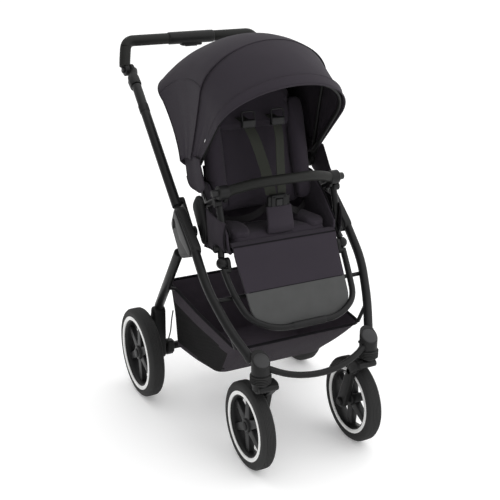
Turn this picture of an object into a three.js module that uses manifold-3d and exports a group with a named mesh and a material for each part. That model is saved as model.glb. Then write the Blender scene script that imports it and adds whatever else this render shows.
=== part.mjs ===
// Baby stroller: folding chassis, swivelling front casters, reclining seat with a folding hood.
// Millimetres. +X is the child's left, +Y the rear, +Z up. The floor is Z 0, the origin the middle.
import * as THREE from 'three';
import { mergeVertices } from 'three/addons/utils/BufferGeometryUtils.js';
import Module from 'manifold-3d';

const wasm = await Module();
wasm.setup();

// ---- Driving dimensions ----
const GAP = 0.3;                    // clearance between touching pieces
const SIDES = [['right', -1], ['left', 1]];
const REAR_WHEEL = { radius: 140, width: 46, x: 278, y: 211, tyre: 27, band: 12, hub: 21, bore: 6.4 };
const FRONT_WHEEL = { radius: 124, width: 40, x: 166, y: -315, tyre: 29, band: 10, hub: 19, bore: 5.9 };
const SPOKES = 6;
const FOLD_PIVOT = { y: -62, z: 612 };
const KNUCKLE_PUSH = [215, 222.5];  // the two hinge plates inside each hub casing, along X
const KNUCKLE_REAR = [206, 213.5];
const PIN_R = 6;
const HUB = { inner: 226, outer: 254 };
const LEG_R = 12;
const FRONT_LEG = [[241, -128, 592], [243, -213, 503], [218, -292, 414], [178, -362, 346]];
const REAR_LEG = [[240, -20, 541], [225, 190, 294]];
const PUSH_R = 14;
const SWIVEL = { x: 167, y: -378, collar: 285, housing: 309, r: 24, stem: 9 };
const HANDLE_JOINT = { y: 381, z: 991, r: 17 };
const HANDLE_BAR = { y: 420, z: 1071, tube: 11, grip: 16.5, centre: 19, centreHalf: 76, bend: 19 };
const BUMPER = { x: 163, y: -164, z: 744, bow: 30, rise: 26, r: 12.5 };
const SEAT_TUBE = { x: 178, r: 9 };
const RECLINE = { y: -60, z: 680 };
const CALF_HINGE = { y: -192, z: 557 };
const HOOD = { y: -10, z: 760, foot: 46, corner: 0.34, rear: 42, mid: 108, front: 134.5 };
const HOOD_LAYERS = { rear: [368, 180], mid: [373.5, 184], front: [381, 188] };

// ---- Materials ----
const finish = (color, roughness, metalness = 0) =>
  new THREE.MeshStandardMaterial({ color, roughness, metalness });
const FRAME = finish(0x1f1f20, 0.45, 0.6);
const PLASTIC = finish(0x242425, 0.6);
const SOFT_GRIP = finish(0x2d2e2b, 0.55);
const RUBBER = finish(0x323232, 0.85);
const CLOTH = finish(0x37333a, 0.95);
const MESH_CLOTH = finish(0x2a252b, 0.95);

// ---- Geometry helpers ----
const v = (x, y, z) => new THREE.Vector3(x, y, z);
const mirrored = (points, side) => points.map(([x, y, z]) => v(side * x, y, z));

function toSolid(geometry) {
  const bare = geometry.clone();
  bare.deleteAttribute('normal');
  bare.deleteAttribute('uv');
  const merged = mergeVertices(bare, 1e-4);
  const vertProperties = new Float32Array(merged.attributes.position.array);
  const triVerts = new Uint32Array(merged.index.array);
  const solid = new wasm.Manifold(new wasm.Mesh({ numProp: 3, vertProperties, triVerts }));
  if (solid.volume() > 0) return solid;
  for (let i = 0; i < triVerts.length; i += 3) {
    [triVerts[i], triVerts[i + 1]] = [triVerts[i + 1], triVerts[i]];
  }
  return new wasm.Manifold(new wasm.Mesh({ numProp: 3, vertProperties, triVerts }));
}

function toGeometry(solid) {
  const mesh = solid.getMesh();
  const geometry = new THREE.BufferGeometry();
  geometry.setAttribute('position', new THREE.BufferAttribute(new Float32Array(mesh.vertProperties), 3));
  geometry.setIndex(new THREE.BufferAttribute(new Uint32Array(mesh.triVerts), 1));
  return geometry;
}

const join = (...parts) => toGeometry(parts.map(toSolid).reduce((a, b) => a.add(b)));
const cut = (body, ...tools) => toGeometry(tools.map(toSolid).reduce((a, b) => a.subtract(b), toSolid(body)));

// A path of straight runs whose corners are rounded over `bend` millimetres each way.
class Route extends THREE.Curve {
  constructor(points, bend, steps = 4) {
    super();
    this.stops = [points[0]];
    for (let i = 1; i < points.length - 1; i += 1) {
      const before = points[i].clone().add(points[i - 1].clone().sub(points[i]).setLength(bend));
      const after = points[i].clone().add(points[i + 1].clone().sub(points[i]).setLength(bend));
      this.stops.push(...new THREE.QuadraticBezierCurve3(before, points[i], after).getPoints(steps));
    }
    this.stops.push(points.at(-1));
    this.runs = this.stops.length - 1;
  }

  getPointAt(u) {
    const place = u * this.runs;
    const i = Math.min(Math.floor(place + 1e-9), this.runs - 1);
    return this.stops[i].clone().lerp(this.stops[i + 1], place - i);
  }

  getTangentAt(u) {
    const i = Math.round(u * this.runs);
    const back = this.stops[Math.max(i - 1, 0)];
    const here = this.stops[i];
    const ahead = this.stops[Math.min(i + 1, this.runs)];
    const arriving = here.clone().sub(back).normalize();
    return arriving.add(ahead.clone().sub(here).normalize()).normalize();
  }
}

const ring = (radius, sides) => Array.from({ length: sides }, (_, i) => {
  const turn = (i + 0.5) * 2 * Math.PI / sides;
  return new THREE.Vector2(radius * Math.cos(turn), radius * Math.sin(turn));
});

function tube(points, radius, { bend = 20, sides = 10, bore = 0, steps = 3 } = {}) {
  const shape = new THREE.Shape(ring(radius, sides));
  if (bore) shape.holes.push(new THREE.Path(ring(bore, sides).reverse()));
  const extrudePath = new Route(points, bend, steps);
  return new THREE.ExtrudeGeometry(shape, { steps: extrudePath.runs, extrudePath });
}

// A plate drawn in the YZ plane and extruded along X.
function plate(outline, x0, x1, bevel = 0) {
  const shape = new THREE.Shape(outline.map(([y, z]) => new THREE.Vector2(y, z)));
  const [low, high] = [Math.min(x0, x1) + bevel, Math.max(x0, x1) - bevel];
  const geometry = new THREE.ExtrudeGeometry(shape, {
    depth: high - low, bevelEnabled: bevel > 0, bevelSize: bevel, bevelOffset: -bevel,
    bevelThickness: bevel, bevelSegments: 2,
  });
  const axes = new THREE.Matrix4().makeBasis(v(0, 1, 0), v(0, 0, 1), v(1, 0, 0));
  return geometry.applyMatrix4(axes).translate(low, 0, 0);
}

// The outline of a belt around circles [y, z, r], listed anticlockwise.
function belt(circles, grow = 0) {
  const points = circles.flatMap(([y, z, r]) => ring(r + grow, 14).map((p) => [y + p.x, z + p.y]));
  points.sort((a, b) => a[0] - b[0] || a[1] - b[1]);
  const half = (list) => list.reduce((hull, p) => {
    const turn = (a, b) => (b[0] - a[0]) * (p[1] - a[1]) - (b[1] - a[1]) * (p[0] - a[0]);
    while (hull.length > 1 && turn(hull.at(-2), hull.at(-1)) <= 1e-6) hull.pop();
    hull.push(p);
    return hull;
  }, []);
  const lower = half(points);
  const upper = half([...points].reverse());
  return [...lower.slice(0, -1), ...upper.slice(0, -1)];
}

const drum = (radius, x0, x1, y, z, segments = 16) =>
  new THREE.CylinderGeometry(radius, radius, Math.abs(x1 - x0), segments)
    .rotateZ(-Math.PI / 2).translate((x0 + x1) / 2, y, z);

const post = (radius, x, y, z0, z1, segments = 24) =>
  new THREE.CylinderGeometry(radius, radius, z1 - z0, segments).rotateX(Math.PI / 2)
    .translate(x, y, (z0 + z1) / 2);

// A ring turned about a wheel axle; the profile is [radius, distance along X] and closed.
const turned = (profile, x, y, z, segments) =>
  new THREE.LatheGeometry([...profile, profile[0]].map(([r, h]) => new THREE.Vector2(r, h)), segments)
    .rotateZ(-Math.PI / 2).translate(x, y, z);

const box = (x0, x1, y0, y1, z0, z1) =>
  new THREE.BoxGeometry(Math.abs(x1 - x0), Math.abs(y1 - y0), Math.abs(z1 - z0))
    .translate((x0 + x1) / 2, (y0 + y1) / 2, (z0 + z1) / 2);

// Closed rings of points joined in order, with a cap on the first and the last.
function loft(rings) {
  const count = rings[0].length;
  const points = rings.flat();
  const index = [];
  for (let r = 0; r < rings.length - 1; r += 1) {
    for (let i = 0; i < count; i += 1) {
      const a = r * count + i;
      const b = r * count + (i + 1) % count;
      index.push(a, b, b + count, a, b + count, a + count);
    }
  }
  for (const [first, flip] of [[0, true], [(rings.length - 1) * count, false]]) {
    const middle = v(0, 0, 0);
    for (let i = 0; i < count; i += 1) middle.addScaledVector(points[first + i], 1 / count);
    points.push(middle);
    for (let i = 0; i < count; i += 1) {
      const edge = [first + i, first + (i + 1) % count];
      index.push(points.length - 1, ...(flip ? edge.reverse() : edge));
    }
  }
  const geometry = new THREE.BufferGeometry().setFromPoints(points);
  geometry.setIndex(index);
  return toGeometry(toSolid(geometry));
}

const stroller = new THREE.Group();
stroller.name = 'baby_stroller';

function add(name, geometry, material) {
  const mesh = new THREE.Mesh(toGeometry(toSolid(geometry)), material);
  mesh.name = name;
  stroller.add(mesh);
}

// ---- Wheels ----
function addWheel(name, side, wheel) {
  const { radius, width, x, y, tyre, band, hub, bore } = wheel;
  const bed = radius - tyre;
  const half = width / 2;
  const centre = [side * x, y, radius];
  const tread = [[bed, -0.6 * half], [bed + 5, -0.92 * half], [radius - 12, -half], [radius - 3, -0.62 * half],
    [radius, -0.22 * half], [radius, 0.22 * half], [radius - 3, 0.62 * half], [radius - 12, half],
    [bed + 5, 0.92 * half], [bed, 0.6 * half]];
  add(`tyre_${name}`, turned(tread, ...centre, 32), RUBBER);
  const outer = bed - GAP;
  const rimProfile = [[outer, -0.55 * half], [outer, 0.55 * half], [outer - band * 0.5, 0.68 * half],
    [outer - band, 0.4 * half], [outer - band, -0.4 * half], [outer - band * 0.5, -0.68 * half]];
  const parts = [turned(rimProfile, ...centre, 32)];
  parts.push(drum(hub, side * (x - 0.7 * half), side * (x + 0.7 * half), y, radius, 20));
  for (let i = 0; i < SPOKES; i += 1) {
    const arm = new THREE.Shape([[-11, hub - 6], [11, hub - 6], [7, outer - band / 2], [-7, outer - band / 2]]
      .map(([a, b]) => new THREE.Vector2(a, b)));
    const spoke = new THREE.ExtrudeGeometry(arm, { depth: 12, bevelEnabled: false });
    spoke.rotateY(Math.PI / 2).rotateX(i * 2 * Math.PI / SPOKES).translate(side * x - 6, y, radius);
    parts.push(spoke);
  }
  const hole = drum(bore, side * (x - width), side * (x + 0.45 * half), y, radius, 16);
  add(`rim_${name}`, cut(join(...parts), hole), PLASTIC);
}

for (const [name, side] of SIDES) {
  addWheel(`rear_${name}`, side, REAR_WHEEL);
  addWheel(`front_${name}`, side, FRONT_WHEEL);
}

// ---- Front casters ----
function addCaster(name, side) {
  const { x, y, collar, housing, r, stem } = SWIVEL;
  const armX = [side * 122, side * 142];
  const axle = [FRONT_WHEEL.y, FRONT_WHEEL.radius];
  const arm = join(
    plate(belt([[axle[0], axle[1], 18], [-352, 236, 13]]), ...armX, 3),
    plate(belt([[-352, 236, 13], [-372, 268, 15], [-386, 270, 13]]), side * 122, side * 146, 3),
    plate(belt([[-360, 270, 10], [-394, 270, 10], [-377, 266, 14]]), side * 124, side * 182, 3),
    post(r - 2, side * x, y, 262, collar - GAP),
    post(stem, side * x, y, 270, housing + 18),
    drum(FRONT_WHEEL.bore - 0.5, side * 138, side * 172, ...axle, 16),
    drum(13, side * 116, side * 124, ...axle, 20),
  );
  add(`caster_fork_${name}`, arm, PLASTIC);
  const ribs = [[stem + GAP, collar], [r + 3, collar], [r + 5, collar + 4], [r + 2, collar + 8],
    [r + 4, collar + 12], [r + 1, collar + 16], [r + 2, collar + 20], [stem + GAP, housing - GAP]];
  const collarRing = new THREE.LatheGeometry([...ribs, ribs[0]].map(([a, b]) => new THREE.Vector2(a, b)), 24)
    .rotateX(Math.PI / 2).translate(side * x, y, 0);
  add(`suspension_collar_${name}`, collarRing, RUBBER);
}

function casterHousing(side, grow = 0) {
  const { x, y, housing, r } = SWIVEL;
  const shell = post(r + grow, side * x, y, housing - grow, 372);
  const above = box(-60, 60, -90, 90, 0, 90).rotateX(0.62).translate(side * x, y - 4, 340 + grow);
  return cut(shell, above);
}

function addCasterHousing(name, side) {
  const { x, y, housing, stem, r } = SWIVEL;
  const bore = post(stem + 0.5, side * x, y, housing - 1, housing + 20);
  const slot = box(side * x - 9.5, side * x + 9.5, y + r - 9, y + r + 3, housing + 3, housing + 15.5);
  add(`caster_housing_${name}`, cut(casterHousing(side), bore, slot), PLASTIC);
  const lever = join(
    box(side * x - 9, side * x + 9, y + r - 8.5, y + r + 10, housing + 3.5, housing + 9),
    drum(4.5, side * x - 9, side * x + 9, y + r + 10, housing + 6.3, 12),
  );
  add(`swivel_lock_${name}`, lever, PLASTIC);
}

for (const [name, side] of SIDES) {
  addCaster(name, side);
  addCasterHousing(name, side);
}

// ---- Chassis: hub casings, front legs, cross bars ----
const hubOutline = (grow) =>
  belt([[-36, 652, 26], [-22, 622, 27], [-62, 562, 22], [-128, 585, 20]], grow);
const hubBlock = (side, grow = 0) => plate(hubOutline(grow), side * (HUB.inner - grow), side * (HUB.outer + grow));

const frontLeg = (side, radius) => tube(mirrored(FRONT_LEG, side), radius, { bend: 40 });

function addHub(name, side) {
  const { y, z } = FOLD_PIVOT;
  const shell = plate(hubOutline(0), side * HUB.inner, side * HUB.outer, 4);
  const pin = drum(PIN_R, side * 205, side * (HUB.inner + 4), y, z, 16);
  add(`hub_casing_${name}`, join(shell, pin), PLASTIC);
  const leg = frontLeg(side, LEG_R);
  add(`front_leg_${name}`, cut(leg, hubBlock(side, GAP), casterHousing(side, GAP)), FRAME);
}

for (const [name, side] of SIDES) addHub(name, side);

const barEnd = SWIVEL.x - SWIVEL.r + 2;
const frontBar = tube([v(-barEnd, -386, 322), v(-95, -404, 298), v(0, -414, 286), v(95, -404, 298),
  v(barEnd, -386, 322)], 8.5, { bend: 40 });
add('front_cross_bar', cut(frontBar, casterHousing(-1, GAP), casterHousing(1, GAP)), FRAME);

const MID = { x: 236, y: -233, z: 469 };
const midBar = tube([v(-MID.x, MID.y, MID.z), v(MID.x, MID.y, MID.z)], 6);
const beyondLegs = [box(-300, -234, -260, -215, 455, 495), box(234, 300, -260, -215, 455, 495)];
const legHoles = [-1, 1].map((side) => frontLeg(side, LEG_R + GAP));
add('mid_cross_tube', cut(midBar, ...legHoles, ...beyondLegs), FRAME);

// ---- Basket ----
function basketRing(inset, up) {
  const corners = up
    ? [[196, -290, 345], [203, -60, 362], [205, 160, 385]]
    : [[166, -122, 200 + inset], [176, 20, 184 + inset], [184, 150, 178 + inset]];
  const right = corners.map(([x, y, z], i) => v(-x + inset, y + inset * (1 - i), z));
  const left = corners.map(([x, y, z], i) => v(x - inset, y + inset * (1 - i), z)).reverse();
  return [...right, ...left];
}
add('basket', loft([basketRing(0, false), basketRing(0, true), basketRing(4, true), basketRing(4, false)]),
  MESH_CLOTH);

// ---- Push frame ----
function addPushFrame(name, side) {
  const { y, z } = FOLD_PIVOT;
  const knuckle = cut(
    plate(belt([[y, z, 15], [-6, 684, 11]]), side * KNUCKLE_PUSH[0], side * KNUCKLE_PUSH[1]),
    drum(PIN_R + 0.4, side * 200, side * 230, y, z, 16),
  );
  const bridge = drum(10, side * KNUCKLE_PUSH[0], side * 238, -4, 686);
  const shaft = tube(mirrored([[240, -16, 675], [229, 300, 957]], side), PUSH_R);
  add(`push_tube_${name}`, join(shaft, bridge, knuckle), FRAME);
  const top = [229, 300.4, 957.3];
  const sleeve = tube(mirrored([top, [226, 336, 977]], side), PUSH_R + 3);
  const bulge = tube(mirrored([[228, 312, 948], [226, 345, 966]], side), 14);
  const socket = tube(mirrored([[240, -16, 675], [229, 300.3, 957.2]], side), PUSH_R + GAP);
  const neck = tube(mirrored([[226, 334, 976], [220, 358, 984], [216, 374, 989]], side), 12, { bend: 8 });
  const disc = drum(HANDLE_JOINT.r, side * 207, side * 221, HANDLE_JOINT.y, HANDLE_JOINT.z);
  const clear = drum(HANDLE_JOINT.r + 2, side * 221.3, side * 250, HANDLE_JOINT.y, HANDLE_JOINT.z);
  add(`handle_clamp_${name}`, cut(join(sleeve, bulge, neck, disc), clear, socket), PLASTIC);
}

for (const [name, side] of SIDES) addPushFrame(name, side);

// ---- Handlebar ----
const barRoute = (start, end) => [v(start, HANDLE_BAR.y, HANDLE_BAR.z), v(end, HANDLE_BAR.y, HANDLE_BAR.z)];
const handleDrop = [[233.6, 383, 996], [224, 402, 1036], [212, HANDLE_BAR.y, HANDLE_BAR.z]];
const gripEnd = [229.3, 391.5, 1014];

function addHandlebar() {
  const rightSide = mirrored(handleDrop, -1);
  const leftSide = mirrored(handleDrop, 1).reverse();
  const route = [...rightSide, ...leftSide];
  const bar = tube(route, HANDLE_BAR.tube, { bend: HANDLE_BAR.bend });
  const discs = SIDES.map(([, side]) =>
    drum(HANDLE_JOINT.r, side * 222.3, side * 236, HANDLE_JOINT.y, HANDLE_JOINT.z, 24));
  const recesses = SIDES.map(([, side]) => drum(9.5, side * 226, side * 250, HANDLE_JOINT.y, HANDLE_JOINT.z, 20));
  const slot = box(-22, 22, HANDLE_BAR.y - 6, HANDLE_BAR.y + 6, HANDLE_BAR.z - 20, HANDLE_BAR.z - 5);
  const inward = SIDES.map(([, side]) =>
    drum(HANDLE_JOINT.r + 3, side * 200, side * 222, HANDLE_JOINT.y, HANDLE_JOINT.z));
  add('handle_tube', cut(join(bar, ...discs), ...recesses, ...inward, slot), FRAME);
  const bore = HANDLE_BAR.tube + GAP;
  const trigger = box(-26, 26, HANDLE_BAR.y - 8, HANDLE_BAR.y + 8, HANDLE_BAR.z - 30, HANDLE_BAR.z + 2);
  const centre = tube(barRoute(-HANDLE_BAR.centreHalf, HANDLE_BAR.centreHalf), HANDLE_BAR.centre, { bore, sides: 16 });
  add('handle_centre_grip', cut(centre, trigger), PLASTIC);
  for (const [name, side] of SIDES) {
    const wrap = [v(side * (HANDLE_BAR.centreHalf + GAP), HANDLE_BAR.y, HANDLE_BAR.z),
      ...mirrored([gripEnd, ...handleDrop.slice(1)], side).reverse()];
    const grip = tube(wrap, HANDLE_BAR.grip, { bend: HANDLE_BAR.bend, bore: HANDLE_BAR.tube + 1 });
    add(`handle_grip_${name}`, grip, SOFT_GRIP);
    const button = drum(9, side * 230.6, side * 243, HANDLE_JOINT.y, HANDLE_JOINT.z);
    add(`handle_button_${name}`, button, PLASTIC);
  }
  const lever = box(-20, 20, HANDLE_BAR.y - 5, HANDLE_BAR.y + 5, HANDLE_BAR.z - 27, HANDLE_BAR.z - 12);
  add('fold_trigger', lever, PLASTIC);
}
addHandlebar();

// ---- Rear frame ----
function addRearFrame(name, side) {
  const { y, z } = FOLD_PIVOT;
  const knuckle = cut(
    plate(belt([[y, z, 15], [-12, 535, 11]]), side * KNUCKLE_REAR[0], side * KNUCKLE_REAR[1]),
    drum(PIN_R + 0.4, side * 200, side * 230, y, z, 16),
  );
  const bridge = drum(10, side * KNUCKLE_REAR[0], side * 238, -9, 530);
  const leg = tube(mirrored(REAR_LEG, side), LEG_R + 2);
  add(`rear_leg_${name}`, join(leg, knuckle, bridge), FRAME);
  const { x, width, radius } = REAR_WHEEL;
  const housing = join(
    plate(belt([[196, 275, 17], [REAR_WHEEL.y - 4, 190, 24], [REAR_WHEEL.y - 6, 132, 20]]),
      side * 206, side * 246, 5),
    drum(REAR_WHEEL.bore - 0.5, side * 240, side * (x + 6), REAR_WHEEL.y, radius, 16),
    drum(13, side * 240, side * (x - width / 2 - 3), REAR_WHEEL.y, radius, 20),
  );
  const end = REAR_LEG[1].map((value, i) => value + GAP * (REAR_LEG[1][i] - REAR_LEG[0][i]) / 300);
  const socket = tube(mirrored([REAR_LEG[0], end], side), LEG_R + 2 + GAP);
  const axleHole = drum(12 + GAP, 0, side * 221, REAR_WHEEL.y, radius, 16);
  add(`axle_housing_${name}`, cut(housing, socket, axleHole), PLASTIC);
}

for (const [name, side] of SIDES) addRearFrame(name, side);
add('rear_axle_tube', drum(12, -220.7, 220.7, REAR_WHEEL.y, REAR_WHEEL.radius, 16), FRAME);

const cableRoute = [v(-203, 130, 297), v(-202, 146, 262), v(-201, 160, 215), v(-203, 178, 178), v(-203.4, 196, 160)];
add('brake_cable', tube(cableRoute, 2, { bend: 14, sides: 8, steps: 3 }), RUBBER);

const pedal = join(
  cut(drum(19, -34, 34, REAR_WHEEL.y, REAR_WHEEL.radius, 24),
    drum(12.4, -40, 40, REAR_WHEEL.y, REAR_WHEEL.radius, 24)),
  box(-34, 34, REAR_WHEEL.y + 15, REAR_WHEEL.y + 52, REAR_WHEEL.radius + 2, REAR_WHEEL.radius + 12),
);
add('brake_pedal', pedal, PLASTIC);

// ---- Seat: adapters, side tubes, cushion ----
function addSeatSide(name, side) {
  const shield = plate(belt([[-72, 692, 20], [-88, 640, 16], [-58, 676, 20]]), side * 190, side * 203.5, 4);
  const pivot = drum(8, side * 158, side * 192, RECLINE.y, RECLINE.z, 16);
  add(`seat_adapter_${name}`, join(shield, pivot), PLASTIC);
  const { x, r } = SEAT_TUBE;
  const route = [[x, -84, 690], [x, -150, 724], [x, -172, 660], [x, -166, 600], [187, -186, 570]];
  const upright = tube(mirrored(route, side), r, { bend: 14 });
  const knob = drum(10, side * (x - 8), side * 200, -167, 590, 16);
  const hinge = new THREE.SphereGeometry(16, 12, 8).translate(side * 187, CALF_HINGE.y, CALF_HINGE.z);
  const inner = box(side * 150, side * 181, CALF_HINGE.y - 20, CALF_HINGE.y + 20, CALF_HINGE.z - 20, CALF_HINGE.z + 20);
  const socket = drum(11, side * (x - 5), side * (x + 15), BUMPER.y + 8, BUMPER.z - 30);
  const adapter = plate(belt([[-72, 692, 20], [-88, 640, 16], [-58, 676, 20]], GAP), side * 189.7, side * 210);
  const pin = drum(8 + GAP, side * 150, side * 192, RECLINE.y, RECLINE.z, 16);
  add(`seat_side_tube_${name}`, cut(join(upright, knob, socket, cut(hinge, inner)), adapter, pin), FRAME);
}

for (const [name, side] of SIDES) addSeatSide(name, side);

function pad(width, length, thick, corner, bevel) {
  const [a, b] = [width / 2 - bevel, length / 2 - bevel];
  const c = corner - bevel;
  const shape = new THREE.Shape();
  shape.moveTo(-a + c, -b).lineTo(a - c, -b);
  shape.absarc(a - c, -b + c, c, -Math.PI / 2, 0).lineTo(a, b - c);
  shape.absarc(a - c, b - c, c, 0, Math.PI / 2).lineTo(-a + c, b);
  shape.absarc(-a + c, b - c, c, Math.PI / 2, Math.PI).lineTo(-a, -b + c);
  shape.absarc(-a + c, -b + c, c, Math.PI, 1.5 * Math.PI);
  return new THREE.ExtrudeGeometry(shape, {
    depth: thick - 2 * bevel, bevelSize: bevel, bevelThickness: bevel, bevelSegments: 2, curveSegments: 3,
  }).translate(0, 0, bevel - thick / 2);
}

add('seat_cushion', pad(318, 168, 44, 40, 16).rotateX(-0.1).translate(0, -103, 592), CLOTH);

// ---- Backrest ----
const BACK = { tilt: 0.26, y: 100 };
function addBackrest() {
  const leg = [[SEAT_TUBE.x - 13, -50, 696], [SEAT_TUBE.x - 13, 4, 765], [158, BACK.y, 962], [100, BACK.y + 18, 1000]];
  const frame = tube([...mirrored(leg, -1), ...mirrored(leg, 1).reverse()], 9, { bend: 26 });
  const parts = [frame];
  for (const [, side] of SIDES) {
    parts.push(plate(belt([[RECLINE.y, RECLINE.z, 17], [-44, 704, 9]]), side * 160, side * 172, 2));
    parts.push(drum(9, side * 168, side * 180, HOOD.y + 8, HOOD.z + 2, 16));
  }
  const holes = SIDES.map(([, side]) => drum(8.4, side * 150, side * 175, RECLINE.y, RECLINE.z, 20));
  add('back_frame', cut(join(...parts), ...holes), FRAME);
  add('back_pad', pad(296, 356, 46, 50, 16).rotateX(Math.PI / 2 - BACK.tilt).translate(0, -2, 810), CLOTH);
  const handle = box(-30, 30, BACK.y + 29, BACK.y + 44, 992, 1008);
  add('recline_lever', handle, PLASTIC);
}
addBackrest();

// ---- Hood: panels and bows turned about the hood pivot ----
const DEG = Math.PI / 180;
function hoodPoint(step, steps, angle, reach, half) {
  const crown = reach * HOOD.corner;
  const leg = 3;
  const right = step <= steps / 2;
  const i = right ? step : steps - step;
  const turn = Math.max(0, i - leg) / (steps / 2 - leg) * Math.PI / 2;
  const x = half * Math.cos(turn);
  const out = i < leg ? HOOD.foot + (reach - crown - HOOD.foot) * i / leg : reach - crown + crown * Math.sin(turn);
  return v(right ? -x : x, HOOD.y + out * Math.cos(angle), HOOD.z + out * Math.sin(angle));
}

function hoodShell(from, to, slices, [reach, half], thick) {
  const steps = 20;
  const rings = [];
  for (let s = 0; s <= steps; s += 1) {
    const outer = [];
    const inner = [];
    for (let k = 0; k <= slices; k += 1) {
      const angle = (from + (to - from) * k / slices) * DEG;
      outer.push(hoodPoint(s, steps, angle, reach, half));
      inner.unshift(hoodPoint(s, steps, angle, reach - thick, half - thick));
    }
    rings.push([...outer, ...inner]);
  }
  return loft(rings);
}

add('hood_rear_panel', hoodShell(HOOD.rear, HOOD.mid - 4, 7, HOOD_LAYERS.rear, 2.4), CLOTH);
add('hood_mid_bow', hoodShell(HOOD.mid - 2, HOOD.mid + 1, 1, HOOD_LAYERS.mid, 2.8), PLASTIC);
add('hood_front_panel', hoodShell(HOOD.mid - 3, HOOD.front - 2, 3, HOOD_LAYERS.front, 2.6), CLOTH);
add('hood_front_bow', hoodShell(HOOD.front - 1.6, HOOD.front, 1, HOOD_LAYERS.front, 2.8), PLASTIC);

// ---- Calf rest ----
function addCalfRest() {
  const drop = [[187, -201, 541], [182, -240, 492], [164, -304, 432], [96, -336, 404]];
  const bar = tube([...mirrored(drop, -1), ...mirrored(drop, 1).reverse()], 8.5, { bend: 34 });
  const lugs = SIDES.map(([, side]) => plate(belt([[CALF_HINGE.y, CALF_HINGE.z, 14], [-202, 540, 9]]),
    side * 167, side * 177.4, 2));
  const necks = SIDES.map(([, side]) => drum(8, side * 170, side * 188, -204, 538));
  const spheres = SIDES.map(([, side]) =>
    new THREE.SphereGeometry(17.5, 12, 8).translate(side * 187, CALF_HINGE.y, CALF_HINGE.z));
  add('footrest_bar', join(...lugs, cut(join(bar, ...necks), ...spheres)), FRAME);
  const rest = pad(292, 176, 14, 66, 5).rotateX(0.96).translate(0, -263, 492);
  add('calf_pad', rest, CLOTH);
}
addCalfRest();

// ---- Bumper bar ----
function addBumper() {
  const { x, y, z, bow, rise, r } = BUMPER;
  const bar = tube([v(-x, y, z), v(-100, y - bow, z + rise), v(0, y - bow - 14, z + rise + 6),
    v(100, y - bow, z + rise), v(x, y, z)], r, { bend: 48 });
  const casings = SIDES.map(([, side]) => join(
    drum(17, side * (x - 8), side * (x + 23), y, z, 24),
    plate(belt([[y, z, 12], [y + 4, z - 22, 8]]), side * (x - 6), side * (x + 4), 2),
  ));
  const recess = SIDES.map(([, side]) => drum(10.4, side * (x + 8), side * (x + 26), y, z, 20));
  add('bumper_bar', cut(join(bar, ...casings), ...recess), SOFT_GRIP);
  for (const [name, side] of SIDES) {
    add(`bumper_button_${name}`, drum(10, side * (x + 14), side * (x + 40), y, z, 20), PLASTIC);
  }
}
addBumper();

// ---- Harness buckle ----
const buckle = cut(
  box(-24, 24, -166, -150, 678, 716),
  box(-10.4, 10.4, -170, -153.5, 684, 704.4),
);
add('buckle', buckle, PLASTIC);
add('buckle_button', box(-10, 10, -167, -160, 684.4, 704), PLASTIC);

export default stroller;
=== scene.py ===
"""Baby stroller: fine shapes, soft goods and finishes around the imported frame. Metres, +Z up."""
import math

import bmesh
import bpy
from mathutils import Matrix, Vector, noise


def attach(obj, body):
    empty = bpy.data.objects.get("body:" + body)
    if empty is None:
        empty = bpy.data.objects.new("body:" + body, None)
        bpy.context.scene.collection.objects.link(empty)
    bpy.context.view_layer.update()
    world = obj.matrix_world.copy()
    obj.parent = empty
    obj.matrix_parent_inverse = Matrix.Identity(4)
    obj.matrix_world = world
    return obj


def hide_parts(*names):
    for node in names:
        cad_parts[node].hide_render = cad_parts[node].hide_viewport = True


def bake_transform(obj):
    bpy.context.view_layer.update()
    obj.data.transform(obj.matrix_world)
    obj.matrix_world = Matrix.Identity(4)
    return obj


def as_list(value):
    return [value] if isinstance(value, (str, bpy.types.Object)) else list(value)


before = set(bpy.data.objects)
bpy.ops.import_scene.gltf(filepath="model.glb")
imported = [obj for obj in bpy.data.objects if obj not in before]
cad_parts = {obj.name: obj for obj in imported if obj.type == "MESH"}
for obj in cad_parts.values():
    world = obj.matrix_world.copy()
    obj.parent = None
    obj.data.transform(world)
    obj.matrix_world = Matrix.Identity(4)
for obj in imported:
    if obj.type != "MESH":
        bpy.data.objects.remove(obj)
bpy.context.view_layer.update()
SIDES = (("right", -1), ("left", 1))

# ---- Camera and light ----
CAMERA_PLACE = Vector((-1.199, -2.351, 1.462))
CAMERA_TURN, CAMERA_PITCH = math.radians(-26.9), math.radians(19.99)
BRIGHT_SIDE = (0.58, -0.2, 0.68)
back = Vector((math.sin(CAMERA_TURN) * math.cos(CAMERA_PITCH),
               -math.cos(CAMERA_TURN) * math.cos(CAMERA_PITCH), math.sin(CAMERA_PITCH)))
lens = bpy.data.cameras.new("camera")
lens.lens = 68.63
camera = bpy.data.objects.new("camera", lens)
camera.location = CAMERA_PLACE
camera.rotation_euler = (-back).to_track_quat("-Z", "Y").to_euler()
bpy.context.collection.objects.link(camera)
bpy.context.scene.camera = camera


def lamp(name, place, size, power, target=(0, 0, 0.5)):
    """A square soft light, aimed at the target."""
    light = bpy.data.lights.new(name, "AREA")
    light.size, light.energy = size, power
    holder = bpy.data.objects.new(name, light)
    holder.location = place
    holder.rotation_euler = (Vector(target) - Vector(place)).to_track_quat("-Z", "Y").to_euler()
    bpy.context.collection.objects.link(holder)


lamp("key_light", (1.1, -3.0, 3.4), 2.2, 13)
lamp("top_light", (0.3, 0.4, 3.6), 3.0, 12)
lamp("fill_light", (2.8, -1.4, 1.8), 2.4, 5)
lamp("rim_light", (-1.4, 2.8, 2.2), 1.6, 5)


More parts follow.
